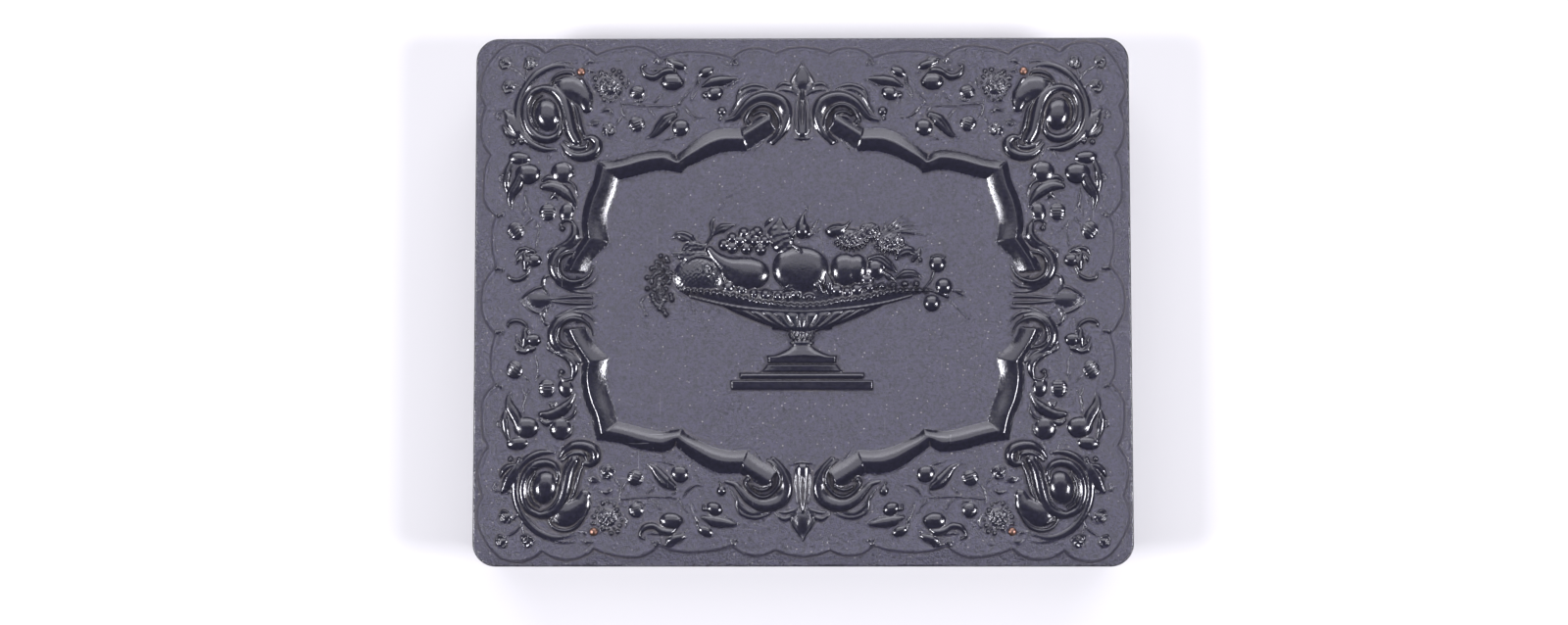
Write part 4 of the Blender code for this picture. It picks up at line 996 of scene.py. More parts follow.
def top_motifs(s: Sheet) -> None:
    """Carves the fruit, leaves and stems between the middle scroll and the corner boss.

    Args:
        s: the sheet that it is carved into.
    """
    for at in ((.200, .899), (.2135, .899)):
        s.dome(at, .0085, .5)
    s.dome((.207, .91), .009, .45)
    for at in ((.4355, .905), (.4485, .905)):
        s.dome(at, .0085, .5)
    s.dome((.442, .915), .009, .45)
    # pointed leaf, oval, bead
    s.stroke(((.185, .837), (.21, .838), (.24, .833), (.275, .825), (.303, .812)), (.15, .9, 1.5, 1.5, .5),
             (.2, .7, 1.0, 1.0, .7), lean=.15)
    s.stroke(((.19, .835), (.215, .82), (.245, .803)), (.25, .35, .2), (.3, .5, .3))
    s.dome((.293, .865), (.027, .0175), .9, turn=-25)
    s.stroke(((.318, .85), (.316, .83), (.322, .815), (.33, .80), (.34, .765)), (.35, .55, .3, .25, .25),
             (.4, .7, .4, .4, .3))
    s.stroke(((.32, .795), (.338, .76)), .25, .45)
    s.dome((.267, .783), (.0285, .0225), 1.15, turn=-20)
    s.stroke(((.285, .785), (.298, .782), (.298, .77)), (.4, .6, .5), (.9, 1.0, .8))
    # big berry with lobes
    s.dome((.398, .828), (.036, .028), 1.25)
    s.dome((.372, .825), (.012, .015), 1.15)
    s.dome((.424, .823), (.008, .01), .9)
    s.dome((.382, .893), (.034, .0155), .95, turn=18)
    s.stroke(((.395, .912), (.41, .908), (.412, .895)), (.3, .4, .25), (.6, .8, .5))
    s.stroke(((.375, .905), (.395, .92), (.42, .915), (.43, .905)), (.2, .35, .35, .2), (.3, .5, .5, .3))
    s.dome((.356, .867), (.0085, .005), .55, full=.8)
    s.stroke(((.378, .853), (.40, .868), (.425, .862), (.45, .845), (.475, .85), (.488, .868), (.49, .885),
              (.478, .893)), (.3, 1.1, 1.1, .9, .9, .8, .5, .4), (.5, 1.1, 1.1, .9, .9, .9, .8, .7),
             lean=.1)
    s.stroke(((.425, .882), (.45, .873), (.47, .877)), (.3, .6, .3), (.4, .6, .4), Section.BELL)
    # stems
    s.stroke(((.345, .795), (.36, .77), (.375, .752)), .3, (.3, .5, .45))
    s.stroke(((.432, .78), (.442, .762), (.455, .748)), .3, (.4, .5, .4))
    s.stroke(((.37, .745), (.41, .737), (.46, .737), (.51, .742), (.55, .745)), (.25, .3, .35, .35, .3),
             .45)
    s.stroke(((.395, .732), (.383, .72), (.38, .708)), (.25, .35, .25), (.35, .5, .4))
    s.stroke(((.36, .735), (.345, .712), (.325, .695), (.30, .695)), (.3, .4, .35, .2), (.4, .6, .5, .3))
    s.stroke(((.467, .722), (.455, .708), (.447, .69)), (.3, .35, .2), (.5, .45, .3))
    # ribbed buds
    s.dome((.503, .788), (.026, .024), 1.0, ribs=7, rib_turn=-20)
    s.dome((.505, .667), (.028, .026), 1.0, ribs=6, rib_turn=20)
    s.stroke(((.478, .765), (.49, .755), (.51, .755)), (.3, .4, .3), (.4, .6, .4))
    # pear and comma leaf
    s.dome((.371, .653), (.0275, .030), 1.05, turn=70)
    s.stroke(((.39, .70), (.41, .685), (.43, .66), (.45, .63), (.475, .612)), (1.0, 1.7, 1.5, 1.0, .3),
             (1.0, 1.15, 1.0, .8, .3), crease=.12)
    s.stroke(((.405, .70), (.422, .685), (.435, .665), (.445, .645)), (.25, .4, .4, .2),
             (1.0, 1.2, 1.0, .7))
    s.stroke(((.385, .62), (.41, .61), (.43, .602)), (.25, .35, .2), (.4, .5, .3))


def corner_boss(s: Sheet) -> None:
    """Carves the great curled leaf near the corner.

    Args:
        s: the sheet that it is carved into.
    """
    # outer band
    s.stroke(((.69, .876), (.73, .89), (.77, .884), (.81, .857), (.842, .812), (.862, .76), (.868, .70),
              (.859, .64), (.832, .598), (.79, .573), (.75, .572)),
             (.5, .8, 1.0, 1.1, 1.1, 1.1, 1.1, 1.15, 1.1, 1.0, .4),
             (.35, .5, .6, .7, .75, .8, .9, 1.0, 1.0, .9, .5))
    s.stroke(((.69, .903), (.72, .906), (.76, .90), (.772, .89)), (.3, .45, .4, .25), (.3, .45, .4, .3))
    # ring round the inner lobe
    s.stroke(((.80, .80), (.822, .788), (.838, .76), (.845, .725), (.843, .685), (.83, .645), (.806, .618),
              (.775, .61), (.75, .622), (.738, .65), (.742, .685)),
             (.9, 1.15, 1.3, 1.35, 1.35, 1.35, 1.3, 1.2, 1.05, .9, .5),
             (1.2, 1.3, 1.35, 1.4, 1.4, 1.4, 1.35, 1.3, 1.2, 1.1, .8))
    s.stroke(((.795, .775), (.815, .757), (.826, .72), (.822, .68), (.806, .648)), (.3, .5, .6, .5, .3),
             (1.2, 1.4, 1.45, 1.35, 1.1))
    s.dome((.778, .703), (.041, .052), 1.85, turn=-10)
    # S stem, with the thin leaf along its left side
    s.stroke(((.812, .802), (.78, .803), (.75, .788), (.73, .757), (.718, .715), (.711, .675), (.703, .635),
              (.689, .602)), (.7, 1.2, 1.55, 1.7, 1.75, 1.75, 1.7, 1.5),
             (1.1, 1.3, 1.45, 1.5, 1.6, 1.6, 1.55, 1.45))
    s.stroke(((.703, .752), (.689, .722), (.682, .685), (.675, .65), (.662, .618)), (.3, .6, .7, .7, .4),
             (1.0, 1.15, 1.2, 1.15, .9))
    # upper lobe and its rim
    s.dome((.712, .802), (.052, .0425), 1.38)
    s.stroke(((.657, .732), (.667, .765), (.688, .79), (.71, .80)), (1.6, 2.5, 3.1, 3.3),
             (.9, 1.2, 1.32, 1.36))
    s.stroke(((.649, .75), (.656, .795), (.676, .84), (.705, .861), (.735, .86), (.758, .843),
              (.769, .815)), (.3, .5, .55, .6, .6, .5, .3), (.6, .85, 1.0, 1.05, 1.05, .95, .7))
    s.stroke(((.735, .835), (.753, .826), (.758, .808)), (.25, .4, .25), (1.25, 1.35, 1.2))
    # bulb at the foot
    s.stroke(((.662, .612), (.640, .613), (.625, .592), (.631, .564), (.655, .547), (.688, .545),
              (.715, .562), (.735, .592)), (.7, 1.15, 1.45, 1.5, 1.4, 1.2, .95, .4),
             (.95, 1.2, 1.35, 1.4, 1.3, 1.2, 1.0, .6))
    s.stroke(((.653, .60), (.66, .58), (.68, .574), (.705, .583), (.728, .603)), (.4, .8, .95, .85, .3),
             (.9, 1.1, 1.15, 1.05, .7))


def corner_flowers(s: Sheet) -> None:
    """Carves the rosette, the three small flowers of the corner and the sprigs between them.

    Args:
        s: the sheet that it is carved into.
    """
    s.dome((.588, .812), (.045, .040), .55, rough=.5, full=.4)
    s.dome((.590, .814), (.031, .030), 1.15, rough=.4, full=.35)
    for turn in np.radians(np.arange(0, 360, 24)):
        r = .041 + .005 * np.sin(3 * turn)
        s.dome((.589 + r * np.cos(turn), .812 + 1.2 * r * np.sin(turn)), .0068 + .002 * np.cos(5 * turn),
               .85)
    for at, r in (((.558, .866), .009), ((.577, .872), .009), ((.614, .864), .009), ((.631, .842), .010),
                  ((.561, .788), .009)):
        s.dome(at, r, .9)
    s.stroke(((.535, .85), (.53, .825), (.54, .805)), (.4, .8, .5), (.4, .6, .4), Section.BELL)
    s.stroke(((.628, .905), (.65, .905), (.668, .895)), (.5, 1.2, .5), (.3, .55, .3), Section.BELL)
    s.stroke(((.63, .865), (.65, .87), (.675, .865)), (.5, 1.0, .4), (.4, .6, .3), Section.BELL)
    s.stroke(((.56, .912), (.575, .915)), (.4, .4), (.25, .25), Section.BELL)
    # sprigs below it
    s.stroke(((.552, .76), (.551, .73), (.545, .705), (.53, .68)), (.3, .35, .4, .2), (.4, .5, .5, .3))
    s.stroke(((.55, .70), (.56, .68), (.57, .66)), (.25, .35, .25), (.3, .5, .3))
    s.stroke(((.565, .76), (.59, .752), (.612, .755)), (.3, .4, .2), (.4, .5, .3))
    s.stroke(((.575, .71), (.59, .722), (.615, .715)), (.4, 1.0, .4), (.4, .7, .4), Section.BELL)
    s.dome((.583, .715), .006, .7)
    s.rosette((.59, .645), .026, 5, .8, turn=30)
    s.dome((.59, .643), (.013, .013), 1.0, rough=.5)
    s.stroke(((.612, .68), (.635, .672), (.655, .668)), (.4, 1.15, .3), (.4, .75, .3), crease=.3)
    # three small flowers
    for at, r in (((.829, .902), .023), ((.907, .903), .0215), ((.896, .812), .0235)):
        s.rosette(at, r, 5, .8, turn=at[0] * 900)
        s.stroke(((at[0] - .3 * r, at[1] - .75 * r), (at[0] + .35 * r, at[1] - 1.0 * r),
                  (at[0] + .8 * r, at[1] - .2 * r)), (.25, .4, .25), .85)
    s.stroke(((.838, .88), (.845, .855), (.847, .82)), (.25, .35, .3), (.4, .5, .4))
    s.stroke(((.893, .885), (.87, .87), (.853, .85), (.847, .83)), (.35, .4, .35, .25), (.4, .55, .5, .4))
    s.stroke(((.873, .818), (.855, .802)), (.4, .35), (.55, .5))
    s.dome((.845, .886), .0075, .7)
    # drop leaf with its beads
    s.stroke(((.907, .718), (.893, .695), (.88, .665), (.868, .635), (.86, .61)), (.6, 1.6, 1.9, 1.5, .6),
             (.7, 1.1, 1.2, 1.1, .8), lean=.25)
    s.stroke(((.912, .66), (.903, .64), (.889, .625), (.873, .618)), (.4, .9, .9, .5), (.9, 1.2, 1.2, 1.0))
    s.dome((.856, .603), (.010, .014), 1.0)
    s.dome((.882, .597), .0105, .95)
    s.stroke(((.87, .71), (.89, .722), (.91, .718)), (.2, .35, .2), (.3, .5, .3))
    s.stroke(((.918, .712), (.924, .715), (.927, .70), (.922, .688)), .25, .5)
    s.stroke(((.93, .715), (.935, .70), (.93, .685)), .25, .45)


def side_motifs(s: Sheet) -> None:
    """Carves the fruit, leaves and stems down the short side.

    Args:
        s: the sheet that it is carved into.
    """
    s.stroke(((.735, .565), (.728, .55), (.722, .535)), (.25, .35, .25), (.3, .45, .3))
    s.stroke(((.765, .565), (.77, .55), (.775, .535)), (.25, .35, .25), (.3, .45, .3))
    s.dome((.862, .538), (.036, .0215), 1.05, turn=5)
    s.dome((.732, .482), (.036, .036), 1.2)
    s.stroke(((.694, .47), (.703, .505), (.725, .523)), (.25, .4, .25), (.6, .9, .7))
    s.dome((.836, .478), (.034, .041), 1.35, turn=90)
    s.stroke(((.688, .35), (.70, .378), (.715, .40), (.737, .42), (.762, .432), (.79, .43)),
             (.4, 1.0, 1.5, 1.7, 1.5, .9), (.5, .9, 1.15, 1.25, 1.25, 1.0), lean=-.2)
    s.stroke(((.685, .39), (.69, .425), (.708, .447), (.74, .455)), (.25, .45, .45, .3), (.4, .75, .85, .7))
    s.stroke(((.75, .452), (.772, .463), (.79, .452)), (.5, .9, .6), (.7, .95, .8))
    s.stroke(((.745, .385), (.755, .395), (.765, .385)), (.5, .8, .4), (.6, .8, .5))
    s.stroke(((.852, .50), (.858, .465), (.868, .435), (.883, .405), (.889, .375), (.884, .345)),
             (.8, 1.4, 1.6, 1.5, 1.0, .4), (1.1, 1.2, 1.15, 1.05, .8, .4), crease=.12, lean=.1)
    s.stroke(((.888, .525), (.897, .49), (.901, .45), (.899, .405)), (.6, 1.1, 1.1, .4), (.7, .95, .9, .4))
    s.stroke(((.91, .478), (.922, .47), (.92, .455), (.908, .455), (.908, .47)), .3, .5)
    s.dome((.717, .33), (.025, .032), 1.0, turn=15)
    s.dome((.775, .332), (.028, .030), 1.0, ribs=7, turn=0)
    s.dome((.872, .262), (.028, .030), 1.0, ribs=6, rib_turn=35)
    s.stroke(((.843, .42), (.843, .39), (.838, .36), (.825, .335)), (.3, .35, .35, .3), (.5, .55, .5, .4))
    s.stroke(((.84, .36), (.845, .34), (.851, .325)), (.25, .35, .2), (.4, .5, .3))
    s.stroke(((.825, .31), (.835, .295), (.847, .283)), (.3, .35, .25), (.4, .5, .3))
    s.stroke(((.808, .30), (.802, .28), (.803, .24), (.81, .205)), (.25, .3, .35, .3), (.4, .45, .45, .4))
    s.stroke(((.79, .272), (.803, .285), (.815, .272)), (.2, .3, .2), (.3, .45, .3))
    # tulip cluster
    s.dome((.816, .15), (.0215, .026), 1.05, turn=90)
    s.stroke(((.822, .185), (.84, .195), (.862, .188), (.872, .165)), (.4, .7, .7, .3), (.6, .8, .8, .4))
    s.stroke(((.812, .182), (.825, .186), (.838, .182)), (.5, .9, .4), (.8, 1.0, .7))
    s.stroke(((.845, .175), (.84, .145), (.842, .115)), (.6, 1.3, .6), (.9, 1.15, .8))
    s.stroke(((.855, .17), (.862, .155), (.868, .14)), (.4, .6, .3), (.7, .9, .5))
    s.stroke(((.828, .12), (.838, .095), (.855, .08), (.873, .077), (.89, .085), (.893, .097)),
             (.4, .5, .6, .6, .6, .4), (.5, .7, .8, .8, .8, .6))
    for at in ((.914, .325), (.923, .32), (.912, .118), (.9215, .118), (.929, .12)):
        s.dome(at, .0085, .5)
    s.stroke(((.93, .318), (.945, .337), (.962, .358)), (.45, .6, .3), (.4, .5, .3), Section.BELL)


def carve_bowl(s: Sheet) -> None:
    """Carves the footed bowl of fruit in the middle of the lid."""
    for part in (foot_and_bowl, rim_and_lobes, leaves_behind, seed_heads, large_fruit, hanging_fruit):
        part(s)


def foot_and_bowl(s: Sheet) -> None:
    """Carves the steps of the foot, the turned stem with its knop and collar, and the gadrooned bowl.

    Args:
        s: the sheet that it is carved into.
    """
    s.vessel(((-.336, .217), (-.301, .217)), .8, flat=1)
    s.vessel(((-.298, .19), (-.274, .19)), 1.05, flat=1)
    s.stroke(((-.185, -.285), (.181, -.285)), .55, 1.3)
    s.vessel(((-.272, .128), (-.262, .118), (-.252, .112), (-.242, .106)), 1.45, flat=.6)
    s.vessel(((-.238, .105), (-.214, .105)), 1.3, flat=1)
    s.vessel(((-.214, .102), (-.208, .088), (-.198, .066), (-.185, .045), (-.175, .035), (-.168, .030),
              (-.1675, .038), (-.157, .040), (-.1565, .030), (-.150, .028), (-.143, .036), (-.133, .044),
              (-.124, .042), (-.119, .046), (-.112, .068), (-.1115, .092), (-.098, .094)), 1.75)
    for x in (-.034, -.019, 0, .019, .034):
        s.stroke(((x * .75 - .002, -.149), (x - .002, -.136), (x * .9 - .002, -.124)), .42, 1.75)
    s.stroke(((-.105, -.213), (.101, -.213)), .28, 1.35)
    s.vessel(((-.105, .085), (-.098, .10), (-.088, .125), (-.075, .152), (-.05, .20), (-.02, .25),
              (.003, .30), (.02, .345), (.036, .385)), 1.7, ribs=15, rib_depth=.6,
             ribs_above=((-.32, -.004), (-.25, -.022), (-.15, -.042), (0, -.052), (.15, -.038),
              (.25, -.018), (.32, .004)))
    s.stroke(((-.34, .012), (-.25, -.016), (-.15, -.036), (0, -.046), (.15, -.032), (.25, -.012),
              (.33, .014)), .3, (.8, 1.5, 1.85, 1.9, 1.85, 1.5, .8))


def rim_and_lobes(s: Sheet) -> None:
    """Carves the beaded rim, the small fruit behind it and the lobes that lie over it.

    Args:
        s: the sheet that it is carved into.
    """
    rim = ((-.36, .036), (-.29, .03), (-.25, .026), (-.215, .019), (-.18, .01), (-.145, -.003),
           (-.105, -.012), (-.04, -.021), (0, -.024), (.05, -.020), (.08, -.014), (.11, -.005), (.14, 0),
           (.18, .005), (.22, .017), (.25, .027), (.28, .032), (.33, .035), (.385, .034))
    line = curve(rim)
    s.sink(np.vstack((line, curve(((.39, .045), (.2, .07), (-.2, .07), (-.365, .045))))), .85, .4)
    s.stroke(rim, .8, (.7, .9, 1.0, 1.0, 1.0, .9, .7), Section.BELL)
    length = np.append(0, np.cumsum(np.hypot(*np.diff(line, axis=0).T)))
    bead_pitch = 1.55
    for d in np.arange(1.0, length[-1], bead_pitch):
        at = np.array([np.interp(d, length, line[:, 0]), np.interp(d, length, line[:, 1])]) / HALF
        s.dome(tuple(at), .0096, 2.0, full=.5)
    for at, r in (((-.225, .045), .022), ((-.185, .035), .018), ((-.045, .012), .017), ((-.02, .02), .019),
                  ((.105, .035), .022), ((.135, .028), .019), ((.165, .038), .021), ((.205, .045), .018),
                  ((.345, .06), .012)):
        s.dome(at, r, 1.45)
    for at, half in (((-.148, .022), (.017, .019)), ((-.112, .018), (.02, .021)),
                     ((-.075, .012), (.019, .018)), ((.24, .05), (.016, .013)), ((.275, .055), (.014, .011)),
                     ((.31, .06), (.014, .011)), ((.02, .012), (.02, .012))):
        s.dome(at, half, 1.6)
    s.dome((-.094, .02), (.006, .013), 1.75)
    s.stroke(((.035, .085), (.045, .055), (.06, .03)), (.4, 1.2, .5), (1.5, 1.9, 1.4), crease=.25)
    s.stroke(((.075, .095), (.08, .06), (.085, .025)), (.5, 1.5, .7), (1.4, 1.85, 1.4), crease=.25)
    s.stroke(((-.055, .035), (-.03, .045), (-.01, .03)), (.4, 1.1, .4), (1.4, 1.8, 1.3), crease=.25)
    s.stroke(((.17, .04), (.195, .055), (.22, .05)), (.4, 1.0, .4), (1.3, 1.6, 1.2), crease=.25)


def leaves_behind(s: Sheet) -> None:
    """Carves the leaves and stems at the left, the bunch of grapes, the vine leaf and the lemon.

    Args:
        s: the sheet that it is carved into.
    """
    s.stroke(((-.395, .235), (-.375, .247), (-.345, .235), (-.32, .205)), (.4, 1.2, 1.3, .3),
             (.4, .9, .9, .4), crease=.3)
    s.stroke(((-.39, .238), (-.36, .225), (-.33, .228)), (.25, .4, .2), (.5, .8, .4))
    s.stroke(((-.275, .245), (-.25, .268), (-.205, .285)), (.5, 1.3, .3), (.6, 1.15, .5), crease=.2)
    s.stroke(((-.30, .20), (-.285, .225), (-.275, .25), (-.275, .29), (-.265, .315)), (.4, .4, .5, .7, .2),
             (.6, .7, .8, .8, .4))
    s.stroke(((-.255, .345), (-.24, .36), (-.235, .385), (-.215, .40)), .25, .35)
    s.stroke(((-.30, .20), (-.34, .20), (-.37, .17)), (1.0, 1.7, .5), (.9, 1.0, .5), crease=.25, veins=5)
    s.stroke(((-.30, .17), (-.35, .165), (-.395, .175)), (1.2, 1.8, .6), (.9, 1.0, .5), crease=.25, veins=5)
    # the bunch behind the pear
    for at in ((-.213, .232), (-.178, .252), (-.137, .256), (-.238, .208), (-.213, .196), (-.17, .193),
               (-.127, .19), (-.165, .228), (-.19, .222), (-.145, .222), (-.115, .222), (-.15, .245)):
        s.dome(at, .0195, 1.3)
    # vine leaf, drop-shaped fruit, lemon
    s.stroke(((-.04, .18), (-.06, .22), (-.07, .255), (-.068, .30)), (1.8, 3.3, 3.2, .8),
             (1.1, 1.3, 1.2, .7), crease=.2, veins=6)
    s.stroke(((-.06, .20), (-.085, .225), (-.108, .245)), (1.2, 1.8, .5), (1.1, 1.2, .7), crease=.2,
             veins=3)
    s.stroke(((-.055, .225), (-.035, .25), (-.02, .275)), (1.0, 1.5, .4), (1.1, 1.25, .7), crease=.2,
             veins=3)
    s.stroke(((-.115, .28), (-.10, .30), (-.085, .315)), (.4, .7, .2), (.5, .7, .3))
    s.dome((0, .262), (.027, .024), 1.5, turn=80)
    s.stroke(((-.003, .28), (0, .305), (.003, .325)), (1.5, 1.0, .3), (1.35, 1.0, .5))
    s.stroke(((.004, .32), (.012, .345), (.008, .36)), .28, .45)
    for tip in ((.04, .29), (.055, .27), (.035, .255), (.05, .31)):
        s.stroke(((.015, .235), tip), (.3, .25), (.7, .45))
    s.dome((.103, .262), (.036, .0215), 1.4, turn=12)
    s.stroke(((.125, .272), (.138, .285), (.148, .302)), (.9, .5, .2), (1.1, .8, .4))
    s.stroke(((.07, .262), (.10, .275), (.13, .27)), (.2, .3, .2), (1.2, 1.5, 1.2))


def seed_heads(s: Sheet) -> None:
    """Carves the ears of grass, the seed heads with their fringes and the leaves at the right.

    Args:
        s: the sheet that it is carved into.
    """
    for tip in ((.25, .30), (.285, .30), (.31, .325), (.325, .305), (.345, .285), (.36, .262), (.345, .245),
                (.375, .245), (.30, .28)):
        x1, y1 = tip
        s.stroke(((.24, .24), ((.25 + x1) / 2, (.255 + y1) / 2 + .006), tip), (.5, .45, .2), (.7, .6, .35),
                 veins=5)
    for (cx, cy), (a, b), h in (((.205, .262), (.034, .026), 1.1), ((.148, .232), (.047, .031), 1.35),
                                ((.268, .218), (.046, .03), 1.25)):
        s.dome((cx, cy), (a, b), h, rough=.3, full=.45)
        for turn in np.radians(np.arange(200, 345, 16)):
            inner = (cx + .8 * a * np.cos(turn), cy + .8 * b * np.sin(turn) * 1.24)
            outer = (cx + 1.12 * a * np.cos(turn), cy + 1.25 * b * np.sin(turn) * 1.24)
            s.stroke((inner, outer), (.42, .3), (h * .95, h * .7))
    # leaves at the right
    s.stroke(((.285, .155), (.30, .178), (.325, .185), (.35, .165)), (.5, 1.3, 1.3, .4),
             (.8, 1.15, 1.1, .5), crease=.25)
    s.stroke(((.335, .15), (.35, .175), (.36, .20)), (.6, 1.0, .3), (.9, 1.0, .4), crease=.2)
    s.dome((.357, .15), .009, .95)
    s.stroke(((.285, .085), (.315, .098), (.345, .095), (.36, .08)), (.5, 1.3, 1.1, .3), (.8, 1.1, 1.0, .5),
             crease=.2)


def large_fruit(s: Sheet) -> None:
    """Carves the melon with its star, the pear, the apple, the quinces and the small fruit on them.

    Args:
        s: the sheet that it is carved into.
    """
    s.dome((-.317, .088), (.078, .066), 1.5, rough=.07)
    for turn in np.radians(np.arange(0, 360, 45)):
        s.stroke(((-.30 + .008 * np.cos(turn), .10 + .01 * np.sin(turn)),
                  (-.30 + .03 * np.cos(turn), .10 + .036 * np.sin(turn))), (.35, .2), (1.62, 1.45))
    s.stroke(((-.288, .085), (-.278, .115), (-.29, .135)), (.35, .5, .3), (1.5, 1.7, 1.5))
    s.stroke(((-.365, .12), (-.33, .16), (-.285, .158), (-.25, .12), (-.236, .07)), (.4, .5, .5, .5, .4),
             (1.0, 1.1, 1.2, 1.2, 1.2))
    s.stroke(((-.282, .188), (-.268, .165), (-.24, .135), (-.21, .115), (-.17, .098)),
             (1.15, 1.7, 2.6, 3.6, 4.4), (1.25, 1.45, 1.65, 1.8, 1.85))
    s.dome((-.168, .098), (.071, .052), 1.88)
    s.dome((-.045, .118), (.048, .06), 1.75)
    s.dome((-.003, .112), (.086, .073), 1.95, full=.45)
    s.stroke(((-.03, .205), (-.012, .19), (-.002, .178)), (.5, .9, .4), (1.3, 1.6, 1.75))
    s.dome((.128, .113), (.046, .053), 1.8)
    s.dome((.166, .117), (.034, .046), 1.72)
    s.dome((.222, .115), (.032, .034), 1.45, turn=-20)
    s.stroke(((.205, .155), (.235, .155), (.262, .13), (.285, .105)), (.7, 1.4, 1.3, .4),
             (1.1, 1.4, 1.3, .8), crease=.2)
    s.stroke(((.25, .10), (.265, .085), (.28, .075)), (.6, 1.0, .4), (1.1, 1.2, .8))
    s.dome((.196, .075), (.024, .018), 1.35)


def hanging_fruit(s: Sheet) -> None:
    """Carves the grapes that hang over the left end, and the cherries and twigs over the right.

    Args:
        s: the sheet that it is carved into.
    """
    grape_pitch = .0172
    for row, (y, x0, x1) in enumerate(GRAPE_ROWS):
        for column, x in enumerate(np.arange(x0 + .008 * (row % 2), x1, grape_pitch)):
            s.dome((x + .003 * np.sin(7 * row + 3 * column), y + .004 * np.cos(5 * row + 4 * column)),
                   .0092, 1.15 + .2 * np.cos(3 * row + 2 * column), full=.5)
    s.stroke(((-.482, .01), (-.49, -.01), (-.482, -.03), (-.478, -.048)), .28, .45)
    s.dome((-.475, -.055), .0075, .5)
    s.stroke(((-.345, .0), (-.335, -.025), (-.328, -.05)), .25, .35)
    for at in ((.41, .135), (.428, .05), (.392, -.012)):
        s.dome(at, .0275, 1.3)
    s.stroke(((.39, .16), (.41, .166), (.432, .16)), (.3, .5, .3), (.9, 1.1, .9))
    s.stroke(((.375, .05), (.39, .075), (.398, .105)), .35, .7)
    s.stroke(((.37, .045), (.40, .03), (.44, .01)), .4, .8)
    s.stroke(((.455, .035), (.475, .03), (.498, .014)), (.4, .8, .2), (.5, .7, .3), crease=.3)
    s.stroke(((.45, -.005), (.468, -.03), (.483, -.045), (.502, -.07)), .28, .45)


# Mesh tools


def quads(rows: int, columns: int, closed: bool = False) -> Array:
    """Lists the four-cornered faces of a grid of points.

    Args:
        rows: rows of points.
        columns: points in each row.
        closed: whether the last point of a row joins its first.

    Returns:
        Point numbers, four to a row, turning left as seen from the side where columns run right and rows up.
    """
    number = np.arange(rows * columns).reshape(rows, columns)
    if closed:
        number = np.hstack((number, number[:, :1]))
    return np.stack((number[:-1, :-1], number[:-1, 1:], number[1:, 1:], number[1:, :-1]), -1).reshape(-1, 4)


def piece(name: str, points: Array, faces: Array, extra: Sequence[Sequence[int]] = ()) -> bpy.types.Object:
    """Makes a smooth mesh object.

    Args:
        name: the piece's name.
        points: places in metres, one row each.
        faces: four-cornered faces by point number.
        extra: faces with other numbers of corners.

    Returns:
        The object, at the origin.
    """
    mesh = bpy.data.meshes.new(name)
    if len(extra):
        mesh.from_pydata(points.reshape(-1, 3).tolist(), [], faces.tolist() + [list(f) for f in extra])
    else:
        mesh.vertices.add(points.size // 3)
        mesh.vertices.foreach_set("co", points.astype(np.float32).ravel())
        mesh.loops.add(faces.size)
        mesh.loops.foreach_set("vertex_index", faces.astype(np.int32).ravel())
        mesh.polygons.add(len(faces))
        mesh.polygons.foreach_set("loop_start", np.arange(0, faces.size, 4, dtype=np.int32))
    mesh.update(calc_edges=True)
    mesh.validate()
    mesh.polygons.foreach_set("use_smooth", np.ones(len(mesh.polygons), bool))
    made = bpy.data.objects.new(name, mesh)
    bpy.context.scene.collection.objects.link(made)
    return made


def note(made: bpy.types.Object, **values: Array) -> None:
    """Writes values at a piece's points, one attribute for each name.

    Args:
        made: the piece.
        values: for each attribute's name one value for each point.
    """
    for name, value in values.items():
        layer = made.data.attributes.new(name, "FLOAT", "POINT")
        layer.data.foreach_set("value", value.astype(np.float32).ravel())


def places(made: bpy.types.Object) -> Array:
    """Reads a piece's points, in metres, one row each.

    Args:
        made: the piece.

    Returns:
        The points.
    """
    points = np.empty(len(made.data.vertices) * 3, np.float32)
    made.data.vertices.foreach_get("co", points)
    return points.reshape(-1, 3)


def tidy(made: bpy.types.Object, merge: float = 1e-6, smooth: float = 35.0) -> bpy.types.Object:
    """Merges doubled points, turns every face outwards and keeps sharp edges crisp.

    Args:
        made: the piece.
        merge: distance within which points are one, metres.
        smooth: edges sharper than this stay crisp, degrees.

    Returns:
        The piece.
    """
    b = bmesh.new()
    b.from_mesh(made.data)
    bmesh.ops.remove_doubles(b, verts=b.verts, dist=merge)
    bmesh.ops.recalc_face_normals(b, faces=b.faces)
    b.to_mesh(made.data)
    b.free()
    made.data.set_sharp_from_angle(angle=np.radians(smooth))
    return made


def applied(made: bpy.types.Object, kind: str, **settings: Any) -> bpy.types.Object:
    """Adds a modifier with its settings and applies it.

    Args:
        made: the piece.
        kind: the modifier's type.
        settings: its settings.

    Returns:
        The piece.
    """
    modifier = made.modifiers.new(kind.title(), kind)
    for name, value in settings.items():
        setattr(modifier, name, value)
    with bpy.context.temp_override(object=made, active_object=made, selected_objects=[made]):
        bpy.ops.object.modifier_apply(modifier=modifier.name)
    return made


def worn(made: bpy.types.Object, width: float = 0.07, segments: int = 2) -> bpy.types.Object:
    """Rounds a metal piece's edges.

    Args:
        made: the piece.
        width: the rounding, mm.
        segments: steps in it.

    Returns:
        The piece.
    """
    applied(made, "BEVEL", width=width * MM, segments=segments, limit_method="ANGLE",
            angle_limit=np.radians(40))
    made.data.polygons.foreach_set("use_smooth", np.ones(len(made.data.polygons), bool))
    made.data.set_sharp_from_angle(angle=np.radians(45))
    return made


